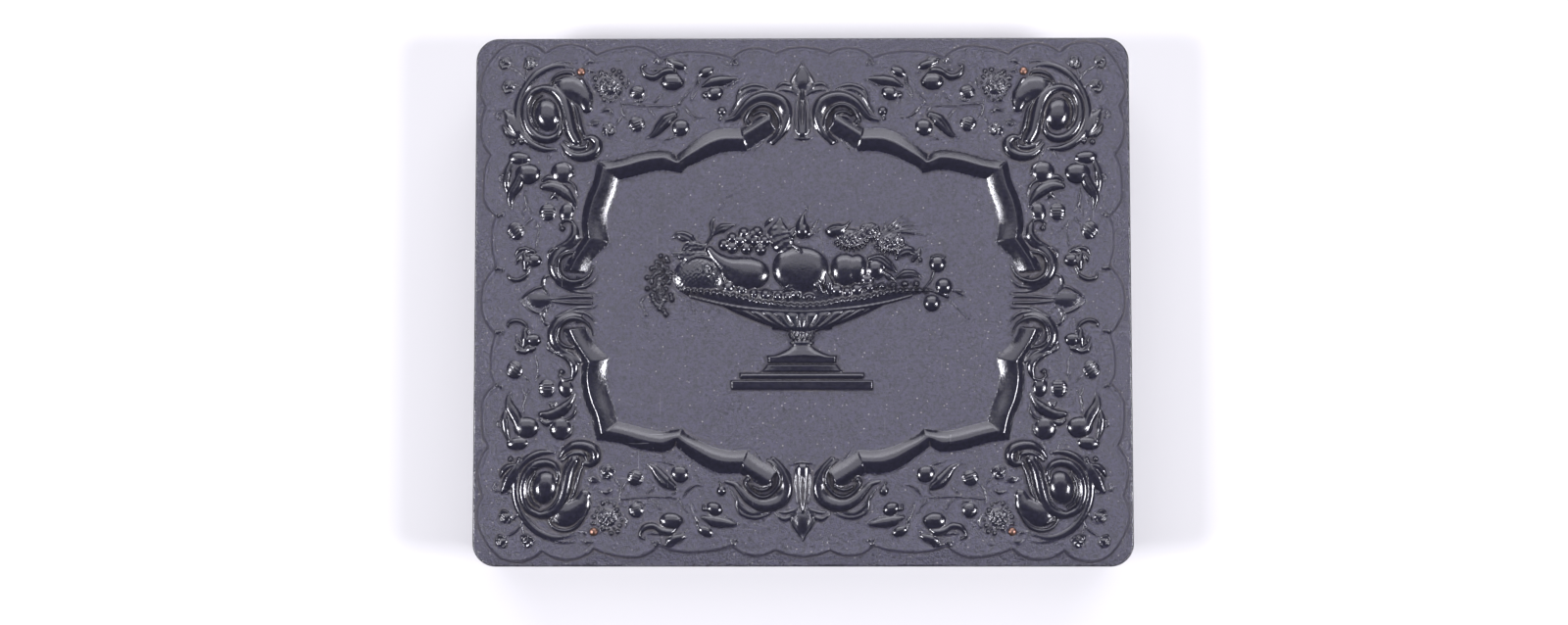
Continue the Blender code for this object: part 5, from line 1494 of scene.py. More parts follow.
def softened(corners: Sequence[Point], radii: float | Sequence[float], steps: int = 4) -> Array:
    """Rounds the corners of a closed outline, each with a quadratic curve that starts and ends radius away.

    Args:
        corners: its corners, mm.
        radii: how far from each corner the curve starts, mm.
        steps: pieces of each curve.

    Returns:
        The rounded outline's points, mm.
    """
    p = np.array(corners, float)
    before, after = np.roll(p, 1, 0) - p, np.roll(p, -1, 0) - p
    reach = np.broadcast_to(radii, len(p))[:, None]
    start = p + before / np.linalg.norm(before, axis=1, keepdims=True) * reach
    end = p + after / np.linalg.norm(after, axis=1, keepdims=True) * reach
    t = np.linspace(0, 1, steps + 1)[None, :, None]
    curved = (1 - t) ** 2 * start[:, None] + 2 * t * (1 - t) * p[:, None] + t ** 2 * end[:, None]
    return curved.reshape(-1, 2)


def pressed(name: str, outline: Array, axis: int, low: float, high: float) -> bpy.types.Object:
    """Carries a closed outline straight along one axis and closes both ends.

    Args:
        name: the piece's name.
        outline: its points in the other two axes, mm.
        axis: 0 for X, 1 for Y.
        low, high: where it starts and ends, mm.

    Returns:
        The solid, its edges lightly rounded.
    """
    return worn(capped(name, [np.insert(outline, axis, place, axis=1) for place in (low, high)]))


def rounded_outline(inset: float, steps: int = 12, least: float = 2.5) -> Array:
    """Gives the case's outline, or one inside it, counter-clockwise.

    Args:
        inset: mm that it lies inside the case's edge.
        steps: pieces of each corner's quarter circle.
        least: smallest corner radius, mm.

    Returns:
        Its points in mm.
    """
    r = max(CORNER - inset, least)
    quarter = np.arange(4)[:, None] * np.pi / 2 + np.radians(np.linspace(0, 90, steps + 1))
    sign = np.array([(1, 1), (-1, 1), (-1, -1), (1, -1)])
    middle = sign[:, None] * (HALF - inset - r)
    return (middle + r * np.stack((np.cos(quarter), np.sin(quarter)), -1)).reshape(-1, 2)


def spaced_outline(inset: float, count: int) -> Array:
    """Gives an outline's points evenly spaced.

    Args:
        inset: mm that it lies inside the case's edge.
        count: how many points.

    Returns:
        The points in mm.
    """
    line = rounded_outline(inset, 24)
    line = np.vstack((line, line[:1]))
    length = np.append(0, np.cumsum(np.hypot(*np.diff(line, axis=0).T)))
    at = np.linspace(0, length[-1], count, endpoint=False)
    return np.stack([np.interp(at, length, line[:, k]) for k in (0, 1)], -1)


def arc(middle: Point, radius: float, start: float, end: float, count: int) -> Array:
    """Gives count points of an arc, mm and degrees."""
    turn = np.radians(np.linspace(start, end, count))
    return np.stack((np.cos(turn), np.sin(turn)), -1) * radius + middle


def capped(name: str, rings: Sequence[Array]) -> bpy.types.Object:
    """Joins closed rings of points into a solid, with a face over each end.

    Args:
        name: the piece's name.
        rings: rings of points in mm, as many in each.

    Returns:
        A closed solid with its faces out.
    """
    points = np.stack(rings) * MM
    rows, columns = points.shape[:2]
    caps = [range(columns)[::-1], range((rows - 1) * columns, rows * columns)]
    return tidy(piece(name, points, quads(rows, columns, True), caps))


def joined(name: str, rings: Sequence[Array]) -> bpy.types.Object:
    """Joins closed rings of points, of which the last lies on the first, into a ring-shaped solid.

    Args:
        name: the piece's name.
        rings: rings of points in mm, as many in each.

    Returns:
        A closed solid with its faces out.
    """
    return tidy(piece(name, np.stack(rings) * MM, quads(len(rings), len(rings[0]), True)), smooth=60)


def at_height(outline: Array, z: Array | float) -> Array:
    """Lifts an outline's points to a height, or each to its own, mm."""
    return np.column_stack((outline, np.broadcast_to(z, len(outline))))


def carried_round(name: str, profile: Sequence[Point]) -> bpy.types.Object:
    """Carries a profile of insets from the case's edge and heights, in mm, round the case."""
    return capped(name, [at_height(rounded_outline(inset), z) for inset, z in profile])


def turned(name: str, profile: Sequence[Point], start: Sequence[float], way: Sequence[float],
           sides: int) -> bpy.types.Object:
    """Turns a profile of radii and distances about an axis.

    Args:
        name: the piece's name.
        profile: radii and distances along the axis, mm.
        start: the axis's start, mm.
        way: its direction.
        sides: points round it.

    Returns:
        The solid, its ends closed.
    """
    p = np.array(profile, float)
    turn = np.linspace(0, 2 * np.pi, sides, endpoint=False)
    ring = np.stack((np.cos(turn), np.sin(turn), np.zeros(sides)), -1)
    points = p[:, None, :1] * ring + np.array((0, 0, 1.0)) * p[:, None, 1:]
    spin = np.array(Vector((0, 0, 1)).rotation_difference(Vector(way)).to_matrix())
    return capped(name, points @ spin.T + np.array(start))


def cut(made: bpy.types.Object, boxes: Sequence[tuple[Point, Point, Point]]) -> None:
    """Takes boxes out of a piece.

    Args:
        made: the piece.
        boxes: for each, its span in x, y and z, mm.
    """
    faces = np.array(((0, 2, 3, 1), (4, 5, 7, 6), (0, 1, 5, 4), (2, 6, 7, 3), (0, 4, 6, 2), (1, 3, 7, 5)))
    for x, y, z in boxes:
        corners = np.array([(a, b, c) for c in z for b in y for a in x]) * MM
        box = piece("cutter", corners, faces)
        applied(made, "BOOLEAN", operation="DIFFERENCE", solver="EXACT", object=box)
        bpy.data.objects.remove(box)
    made.data.set_sharp_from_angle(angle=np.radians(35))


@cache
def material_of(finish: Any) -> bpy.types.Material:
    """Builds a finish's material the first time it is asked for, and hands over the same one after that."""
    return finish.material()


def dress(made: bpy.types.Object, finish: Any, body: str, slot: str, *nodes: str) -> bpy.types.Object:
    """Gives a piece its finish and its body, and hides the CAD nodes that it stands for.

    Args:
        made: the piece.
        finish: a finish, built once and shared.
        body: the body that it rides on.
        slot: the record's material slot.
        nodes: CAD nodes that it replaces.

    Returns:
        The piece.
    """
    made.data.materials.clear()
    made.data.materials.append(material_of(finish))
    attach(made, body)
    if nodes:
        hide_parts(*nodes)
    log.info("%s: %d faces on %s", made.name, len(made.data.polygons), body)
    return made


def clothe(node: str, finish: Any) -> None:
    """Gives a CAD node that stays its finish.

    Args:
        node: the node.
        finish: its finish.
    """
    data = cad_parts[node].data
    data.materials.clear()
    data.materials.append(material_of(finish))
    log.info("%s: kept, in %s", node, finish.name)


def bead(place: Array, radius: float) -> Array:
    """Gives the height of a row of round beads.

    Args:
        place: how far each point lies from the nearest bead's middle, mm.
        radius: the beads' radius, mm.

    Returns:
        Heights from 0 to 1.
    """
    return np.sqrt(np.clip(1 - (place / radius) ** 2, 0, 1))


def roof(place: Array, half: float) -> Array:
    """Gives a roof's height, 1 in its middle and 0 at half mm from it."""
    return np.clip(1 - np.abs(place) / half, 0, 1)


def folded(value: Array, period: float) -> Array:
    """Gives the distance along a line to the nearest of evenly spaced marks."""
    return np.abs((value + period / 2) % period - period / 2)


# Sub-assemblies


@dataclass
class CarvedLid:
    """The lid: its carved face in four quarters and the body under it; sizes in mm."""

    pitch: float = 0.25
    border: float = 0.55
    corner: float = CORNER - 0.55
    reach: float = 0.18
    full_height: float = 1.65
    squash: float = 0.45
    rivet_seat: float = 1.35
    hollow_passes: int = 24
    groove: tuple[Point, ...] = ((3.9, 12.3), (3.9, 13.8), (WALL, 13.8), (WALL, 21.5))
    lip: tuple[Point, ...] = (
        (1.4, 22.7), (0.75, 23.02), (0.6, 23.09), (0.36, 23.05), (0.17, 22.93), (0.05, 22.75), (0.0, 22.5),
        (0.0, 19.9))

    def carve(self, border: Sheet) -> Sheet:
        """Carves the bowl into the border, presses the highest parts down and clears the rivets' seats.

        Args:
            border: the heights of the border, left as they are.

        Returns:
            The lid's heights.
        """
        s = border.copy()
        carve_bowl(s)
        s.height -= self.squash * np.clip(s.height - self.full_height, 0, None)
        s.eased(1)
        for at in RIVETS:
            s.seat(at, self.rivet_seat)
        return s

    def lines(self, half: float) -> Array:
        """Grid lines from 0 to half, evenly spaced at about the pitch, mm."""
        return np.linspace(0, half - self.border, round((half - self.border) / self.pitch) + 1)

    def tile(self, sheet: Sheet, broad: Sheet, side_x: int, side_y: int, name: str) -> bpy.types.Object:
        """Builds one quarter of the carved face.

        Each point of an even grid lies at its own place, and those in the corner square are drawn in to the
        round corner: with shares a and b of the square, x becomes a times the root of 1 - b*b/2, and y
        likewise.

        Args:
            sheet: the carved heights.
            broad: the same heights eased over a few mm, for the hollows.
            side_x, side_y: which quarter.
            name: the piece's name.

        Returns:
            The quarter, with its relief and hollow values.
        """
        u, v = np.meshgrid(self.lines(HALF[0]), self.lines(HALF[1]))
        reach = HALF - self.border - self.corner
        a, b = (np.clip((w - r) / self.corner, 0, 1) for w, r in zip((u, v), reach))
        x = np.where(a > 0, reach[0] + self.corner * a * np.sqrt(1 - b * b / 2), u) * side_x
        y = np.where(b > 0, reach[1] + self.corner * b * np.sqrt(1 - a * a / 2), v) * side_y
        z = sheet.at(x, y)
        e = self.reach
        slope = [(sheet.at(x + p, y + q) - sheet.at(x - p, y - q)) / (2 * e) for p, q in ((e, 0), (0, e))]
        normal = np.stack((-slope[0], -slope[1], np.ones_like(z)), -1)
        normal /= np.linalg.norm(normal, axis=-1, keepdims=True)
        faces = quads(*u.shape)
        made = piece(name, np.stack((x, y, z + HEIGHT), -1) * MM, faces[:, ::side_x * side_y])
        made.data.normals_split_custom_set_from_vertices(normal.reshape(-1, 3))
        note(made, relief=z, hollow=np.clip(broad.at(x, y) - z, 0, 1))
        return made

    def build(self, border: Sheet) -> None:
        """Builds and dresses the lid.

        Args:
            border: the heights of the border, without the bowl.
        """
        sheet = self.carve(border)
        broad = sheet.copy()
        broad.eased(self.hollow_passes)
        for label_y, side_y in (("back", 1), ("front", -1)):
            for label_x, side_x in (("right", 1), ("left", -1)):
                tile = self.tile(sheet, broad, side_x, side_y, f"lid_face_{label_y}_{label_x}")
                dress(tile, MouldedBlack(), "lid", "moulded_black")
        body = carried_round("lid_body", (*self.lip, *cove(True), *self.groove))
        cut(body, strap_seats(True))
        dress(body, PLAIN_BLACK, "lid", "moulded_black", "lid_shell")


def cove(in_lid: bool, lip: float = 4.4, rise: float = 7.6, depth: float = 2.0) -> list[Point]:
    """Gives the cove of a half's side, a quarter of an ellipse, as insets and heights.

    Args:
        in_lid: which half.
        lip: height of the lip that it starts from, mm.
        rise: its height, mm.
        depth: its inset at the rim, mm.

    Returns:
        Ten points from the lip to the rim.
    """
    turns = np.linspace(0.1, 1, 10) * np.pi / 2
    heights = [lip + rise * (1 - np.cos(turn)) for turn in turns]
    return [(depth * np.sin(turn), HEIGHT - z if in_lid else z) for turn, z in zip(turns, heights)]


def strap_seats(in_lid: bool, room: float = 0.3) -> list[tuple[Point, Point, Point]]:
    """Boxes of the seats that the brass straps are let into, in one half.

    Args:
        in_lid: which half.
        room: mm left round a strap.

    Returns:
        For each box its span in x, y and z, mm.
    """
    rim, wall, floor = ((-1.5, 6.7), (11.2, 14.7)), ((4.4, 6.7), (2.0, 14.7)), ((4.4, 11.1), (2.0, 4.3))
    tab = ((-1.5, 2.0), (RIM - TAB - room, 14.7))
    boxes = []
    for middle, width, side, spans in ((HINGE_X, HINGE_WIDTH, 1, (rim, wall, floor)),
                                       (CLASP_X, CLASP_WIDTH, -1, (rim, wall, floor, tab))):
        for way in (-1, 1):
            x = (way * middle - width / 2 - room, way * middle + width / 2 + room)
            for inset, height in spans:
                y = tuple(sorted(side * (HALF[1] - i) for i in inset))
                z = tuple(sorted((HEIGHT - h if in_lid else h) for h in height))
                boxes.append((x, y, z))
    return boxes


@dataclass
class Base:
    """The base: a tray with a recessed underside that repeats the border in lower relief; sizes in mm."""

    recess: float = 0.9
    inset: float = 7.4
    border_inset: float = 4.4
    pitch: float = 0.42
    relief: float = 0.36
    rivet_seat: float = 1.4
    lip: tuple[Point, ...] = (
        (8.4, 1.2), (7.6, 0.98), (7.35, 0.86), (6.6, 0.06), (6.45, 0.0), (0.6, 0.0), (0.36, 0.05),
        (0.17, 0.17), (0.05, 0.35), (0.0, 0.6), (0.0, 4.4))
    tongue: tuple[Point, ...] = ((4.2, RIM), (4.2, 13.2), (WALL, 13.2), (WALL, FLOOR))

    def build(self, border: Sheet) -> None:
        """Builds and dresses the base.

        Args:
            border: the heights of the lid's border, without the bowl.
        """
        body = carried_round("base_body", (*self.lip, *cove(False), *self.tongue))
        cut(body, strap_seats(False))
        dress(body, PLAIN_BLACK, "base", "moulded_black", "base_shell")
        half = HALF - self.inset
        x, y = np.meshgrid(*(np.linspace(-h, h, round(2 * h / self.pitch)) for h in half))
        drawn = HALF - self.border_inset
        high = np.clip(border.at(x * drawn[0] / half[0], y * drawn[1] / half[1]), 0, 2)
        for at in RIVETS:
            high *= np.clip(2 * np.hypot(x - at[0], y - at[1]) / self.rivet_seat - 2, 0, 1)
        points = np.stack((x, y, self.recess - self.relief * high), -1) * MM
        face = piece("base_underside", points, quads(*x.shape)[:, ::-1])
        note(face, relief=high, hollow=0 * high)
        dress(face, MouldedBlack(), "base", "moulded_black")


@dataclass
class Hardware:
    """Brass hinges, clasps and copper rivets; sizes in mm, heights those of the base, angles in degrees."""

    axis: Point = (63.6, SEAM)
    round_outer: float = 1.3
    round_inner: float = 0.72
    outer_turn: Point = (210, 530)
    inner_turn: Point = (530, 192)
    root: float = 62.0
    sheet: float = 0.5
    floor_end: float = 10.8
    knuckles: int = 4
    gap: float = 0.2
    hinge_start: float = 1.3
    tab_start: float = 1.2
    pivot_height: float = 8.4
    post_face: float = -63.6
    post_end: float = 1.75
    head: tuple[Point, ...] = ((0.25, 0), (0.6, 0.02), (0.88, 0.07), (1.04, 0.14), (1.1, 0.22), (1.08, 0.3))
    hook_eye: float = 1.5
    hook_reach: float = 7.5
    hook_outer: float = 1.75
    hook_inner: float = 1.05
    hook_faces: Point = (-63.0, -62.4)
    sides: int = 28
    pin_sides: int = 20
    crown: float = 0.62
    lid_rivet: Point = (25.1, 3.6)
    base_rivet: Point = (0.1, 2.7)

    def flip(self, outline: Array, in_lid: bool) -> Array:
        """Turns a section's heights over for the lid."""
        return outline * (1, -1) + (0, HEIGHT) if in_lid else outline

    def strap(self, name: str, side: int, in_lid: bool, middle: float, width: float, start: float,
              drop: float = 0.0) -> bpy.types.Object:
        """Bends one strap over the rim, down the wall and along the floor.

        Args:
            name: the piece's name.
            side: 1 at the back, -1 at the front.
            in_lid: which half.
            middle, width: its middle and width along X, mm.
            start: the inset that it starts from, mm.
            drop: how far its outer tab hangs below the rim, mm; 0 for none.

        Returns:
            The strap.
        """
        s, end = self.sheet, self.floor_end
        corners = [(start, RIM), (WALL, RIM), (WALL, FLOOR), (end, FLOOR), (end, FLOOR - s),
                   (WALL - s, FLOOR - s), (WALL - s, RIM - s)]
        radii = [0.35 if drop else 0.05, 0.45, 0.15, 0.12, 0.12, 0.5, 0.12]
        if drop:
            corners += [(start + s, RIM - s), (start + s, RIM - drop), (start, RIM - drop)]
            radii += [0.1, 0.12, 0.15]
        else:
            corners.append((start, RIM - s))
            radii.append(0.05)
        outline = self.flip(softened(corners, radii) * (-side, 1) + (side * HALF[1], 0), in_lid)
        return pressed(name, outline, 0, middle - width / 2, middle + width / 2)

    def knuckle(self, name: str, in_lid: bool, low: float, high: float) -> bpy.types.Object:
        """Rolls one knuckle: the strap's sheet goes round the pin and its end comes back down on the strap.

        Args:
            name: the piece's name.
            in_lid: which half.
            low, high: its ends along X, mm.

        Returns:
            The knuckle.
        """
        outer = arc(self.axis, self.round_outer, *self.outer_turn, 40)
        inner = arc(self.axis, self.round_inner, *self.inner_turn, 36)
        outline = np.vstack(([(self.root, RIM - self.sheet)], outer, inner, [(self.root, RIM)]))
        return pressed(name, self.flip(outline, in_lid), 0, low, high)

    def hinge(self, label: str, way: int) -> None:
        """Builds one hinge.

        Args:
            label: left or right.
            way: -1 or 1.
        """
        middle, width, start = way * HINGE_X, HINGE_WIDTH, self.hinge_start
        pitch = (width + self.gap) / self.knuckles
        for half, in_lid in (("base", False), ("lid", True)):
            strap = self.strap(f"{half}_hinge_strap_{label}", 1, in_lid, middle, width, start)
            dress(strap, AgedBrass(), half, "aged_brass", f"{half}_hinge_leaf_{label}")
            for index in range(in_lid, self.knuckles, 2):
                low = middle - width / 2 + index * pitch
                name = f"{half}_knuckle_{index + 1}_{label}"
                roll = self.knuckle(name, in_lid, low, low + pitch - self.gap)
                dress(roll, AgedBrass() if in_lid else RUBBED_BRASS, half, "aged_brass")
        profile = ((0.16, 0), (0.34, 0.05), (0.4, 0.16),
                   (0.4, width - 0.16), (0.34, width - 0.05), (0.16, width))
        pin = turned(f"pin_{label}", profile, (middle - width / 2, *self.axis), (1, 0, 0), self.pin_sides)
        dress(pin, AgedBrass(), "base", "aged_brass", f"hinge_pin_{label}")

    def post(self, name: str, x: float, z: float, shank: float) -> bpy.types.Object:
        """Turns a headed post that stands out of the front.

        Args:
            name: the piece's name.
            x, z: its middle, mm.
            shank: its radius behind the head, mm.

        Returns:
            The post.
        """
        profile = [*self.head, (shank, self.head[-1][1]), (shank, self.post_end)]
        return turned(name, profile, (x, self.post_face, z), (0, 1, 0), self.sides)

    def hook(self, name: str, x: float, way: int) -> bpy.types.Object:
        """Cuts one flat hook: an eye on the pivot, a bar, and an open end that closes on the stud.

        Args:
            name: the piece's name.
            x: its pivot, mm.
            way: the direction in which it points, 1 or -1.

        Returns:
            The hook.
        """
        end = (self.hook_reach, 0)
        outline = np.vstack((
            arc((0, 0), self.hook_eye, 37, 323, 28), arc(end, self.hook_outer, 211, 413, 24),
            arc(end, self.hook_inner, 360, 180, 20), arc(end, self.hook_outer, 127, 149, 4)))
        return pressed(name, outline * (way, 1) + (x, self.pivot_height), 1, *self.hook_faces)

    def clasp(self, label: str, way: int) -> None:
        """Builds one clasp.

        Args:
            label: left or right.
            way: -1 or 1.
        """
        x, height, finish = way * CLASP_X, self.pivot_height, AgedBrass()
        for half, node, in_lid in (("base", "hook_plate", False), ("lid", "catch_plate", True)):
            name = f"{half}_clasp_strap_{label}"
            plate = self.strap(name, -1, in_lid, x, CLASP_WIDTH, self.tab_start, TAB)
            dress(plate, finish, half, "aged_brass", f"{node}_{label}")
        stud = self.post(f"clasp_stud_{label}", x, HEIGHT - height, 0.6)
        dress(stud, finish, "lid", "aged_brass")
        pivot = self.post(f"clasp_pivot_{label}", x, height, 0.5)
        dress(pivot, finish, "base", "aged_brass", f"hook_pivot_{label}")
        hook = self.hook(f"clasp_hook_{label}", x, -way)
        dress(hook, RUBBED_BRASS, f"hook_{label}", "aged_brass", f"hook_{label}")

    def rivet(self, half: str, place: str, label: str, at: Point) -> None:
        """Builds one rivet: a domed head outside, a shank and a small clenched end inside.

        Args:
            half: base or lid.
            place: back or front.
            label: left or right.
            at: its middle, mm.
        """
        top, end = self.lid_rivet if half == "lid" else self.base_rivet
        dome = [(np.sin(a), self.crown * (1 - np.cos(a))) for a in np.radians(np.linspace(8, 90, 8))]
        profile = [*dome, (0.97, 0.78), (0.6, 0.8), (0.6, end - 0.02), (0.92, end), (0.84, end + 0.12),
                   (0.4, end + 0.2)]
        way = (0, 0, -1 if half == "lid" else 1)
        made = turned(f"{half}_{place}_rivet_{label}", profile, (*at, top), way, self.sides)
        dress(made, RivetCopper(), half, "rivet_copper", f"{half}_rivet_{place}_{label}")

    def build(self) -> None:
        """Builds and dresses every brass piece and rivet."""
        for label, way in SIDES:
            self.hinge(label, way)
            self.clasp(label, way)
        for half in ("base", "lid"):
            for x, y in RIVETS:
                self.rivet(half, "back" if y > 0 else "front", "right" if x > 0 else "left", (x, y))


@dataclass
class PictureStack:
    """What lies in the base: card, silvered plate, brass mat, glass, preserver and velvet strip; in mm."""

    mat_inset: float = 8.5
    mat_low: float = 5.0
    mat_top: float = 5.5
    mat_points: int = 1440
    mat_rings: int = 56
    crowding: float = 1.35
    beads: int = 240
    window: float = 0.74
    rosette: Point = (10.5, 9.8)
    flange: Point = (7.8, 11.6)
    flange_top: float = 7.9
    foil_points: int = 2016
    foil_step: float = 0.25
    strip_points: int = 720
    glass: tuple[Point, ...] = ((8.75, 5.8), (8.5, 5.98), (8.5, 7.02), (8.75, 7.2))

    def mat(self) -> bpy.types.Object:
        """Presses the brass mat: a bevel, beads and a wave round the oval window, a rosette in each corner.

        Its points run round the window's edge and out to the rim, d mm from the window. A wave is two sines
        that cross, a bead row is a row of half spheres, and a rosette has eight petals, each a squared cosine
        of the angle.

        Returns:
            The mat, closed underneath.
        """
        half = HALF - self.mat_inset
        outer = spaced_outline(self.mat_inset, self.mat_points)
        turn = np.arctan2(outer[:, 1] / half[1], outer[:, 0] / half[0])
        inner = np.stack((np.cos(turn), np.sin(turn)), -1) * half * self.window
        t = np.linspace(0, 1, self.mat_rings)[:, None, None] ** self.crowding
        xy = inner + (outer - inner) * t
        wide = half * self.window
        ring = np.hypot(xy[..., 0] / wide[0], xy[..., 1] / wide[1])
        d = (ring - 1) * wide.min() * 1.12
        along = np.arctan2(xy[..., 1] / wide[1], xy[..., 0] / wide[0]) * wide.mean()
        period = 2 * np.pi * wide.mean() / self.beads
        # bevel, then beads and a thread
        high = -0.16 * np.clip(1 - d / 0.7, 0, 1)
        high += 0.2 * bead(np.hypot(folded(along, period), d - 1.35), 0.46)
        high += 0.1 * roof(d - 2.2, 0.25)
        # crossing waves with a bead in each eye, and a second thread
        for shift in (0, 0.5):
            wave = 3.8 + 1.0 * np.sin(2 * np.pi * (along / (4 * period) + shift))
            high += 0.15 * bead(d - wave, 0.42)
        high += 0.16 * bead(np.hypot(folded(along, 2 * period), d - 3.8), 0.34)
        high += 0.1 * roof(d - 5.4, 0.25)
        # rosettes outside the pattern
        corner = np.abs(xy) - (half - self.rosette)
        far, angle = np.hypot(corner[..., 0], corner[..., 1]), np.arctan2(corner[..., 1], corner[..., 0])
        free = d > 5.8
        petal = 0.22 * np.cos(4 * angle) ** 2 * bead(far - 4.0, 2.6) * free
        high += petal + 0.2 * bead(far, 1.2) + 0.1 * bead(far - 7.3, 0.35) * free
        top = np.dstack((xy, self.mat_top + np.clip(high, -0.2, 0.22)))
        return joined("mat_pressed", [*top, at_height(outer, self.mat_low), at_height(inner, self.mat_low),
                                      top[0]])

    def preserver(self) -> bpy.types.Object:
        """Presses the foil frame that wraps the stack, with a leaf and bead pattern on its flange.

        Returns:
            The frame.
        """
        low, high = self.flange
        top, count = self.flange_top, self.foil_points
        section = [(low + 0.4, 4.2), (low, 4.2), (low, 7.7), (low + 0.06, 7.84)]
        section += [(inset, top) for inset in np.linspace(low + 0.2, high - 0.1, 22)]
        section += [(high, 7.8), (high, 7.5), (low + 0.4, 7.5), (low + 0.4, 4.2)]
        along = np.arange(count) * self.foil_step
        leaf = folded(along, 3.0)
        rings = []
        for inset, z in section:
            rise = np.zeros(count)
            if z == top:
                d = inset - low
                rise = (0.24 * bead(np.hypot(leaf / 1.25, (d - 1.75 - 0.25 * leaf) / 1.0), 1.0)
                        - 0.1 * bead(leaf, 0.22) * bead(d - 1.75, 1.1)
                        + 0.2 * bead(np.hypot(folded(along, 1.0), d - 3.2), 0.4)
                        + 0.1 * bead(d - 0.45, 0.22))
            rings.append(at_height(spaced_outline(inset, count), z + rise))
        return joined("preserver_pressed", rings)

    def strip(self) -> bpy.types.Object:
        """Builds the velvet strip round the picture, with the slight swell and pull of glued cloth.

        Its top and inner face move in and out by a sum of sines along the strip.

        Returns:
            The strip.
        """
        section = softened([(5.5, 3.1), (5.5, 11.4), (7.5, 11.4), (7.5, 3.1)], [0.1, 0.75, 0.75, 0.1], 5)
        count = self.strip_points
        s = np.arange(count) / count * 2 * np.pi
        wobble = np.sin(17 * s) + np.sin(41 * s + 1) + 0.6 * np.sin(73 * s + 2) - 2.6
        rings = []
        for inset, z in np.vstack((section, section[:1])):
            upper = np.clip((z - 4) / 7, 0, 1)
            drawn_in = 1 - 0.0008 * wobble * upper * (inset > 6.5)
            sunk = 0.05 * wobble * upper * (z > 10.5)
            rings.append(at_height(spaced_outline(inset, count) * drawn_in[:, None], z + sunk))
        return joined("retainer_velvet", rings)

    def build(self) -> None:
        """Builds and dresses the stack."""
        clothe("packing_card", Card())
        clothe("image_plate", SilveredPlate())
        dress(self.mat(), PressedBrass(), "base", "mat_brass", "brass_mat")
        dress(carried_round("glass_pane", self.glass), CoverGlass(), "base", "cover_glass", "cover_glass")
        foil = PressedBrass("preserver_brass", (0.80, 0.60, 0.27), 0.24)
        dress(self.preserver(), foil, "base", "preserver_brass", "preserver")
        dress(self.strip(), Velvet("retainer_velvet"), "base", "retainer_velvet", "retainer_strip")


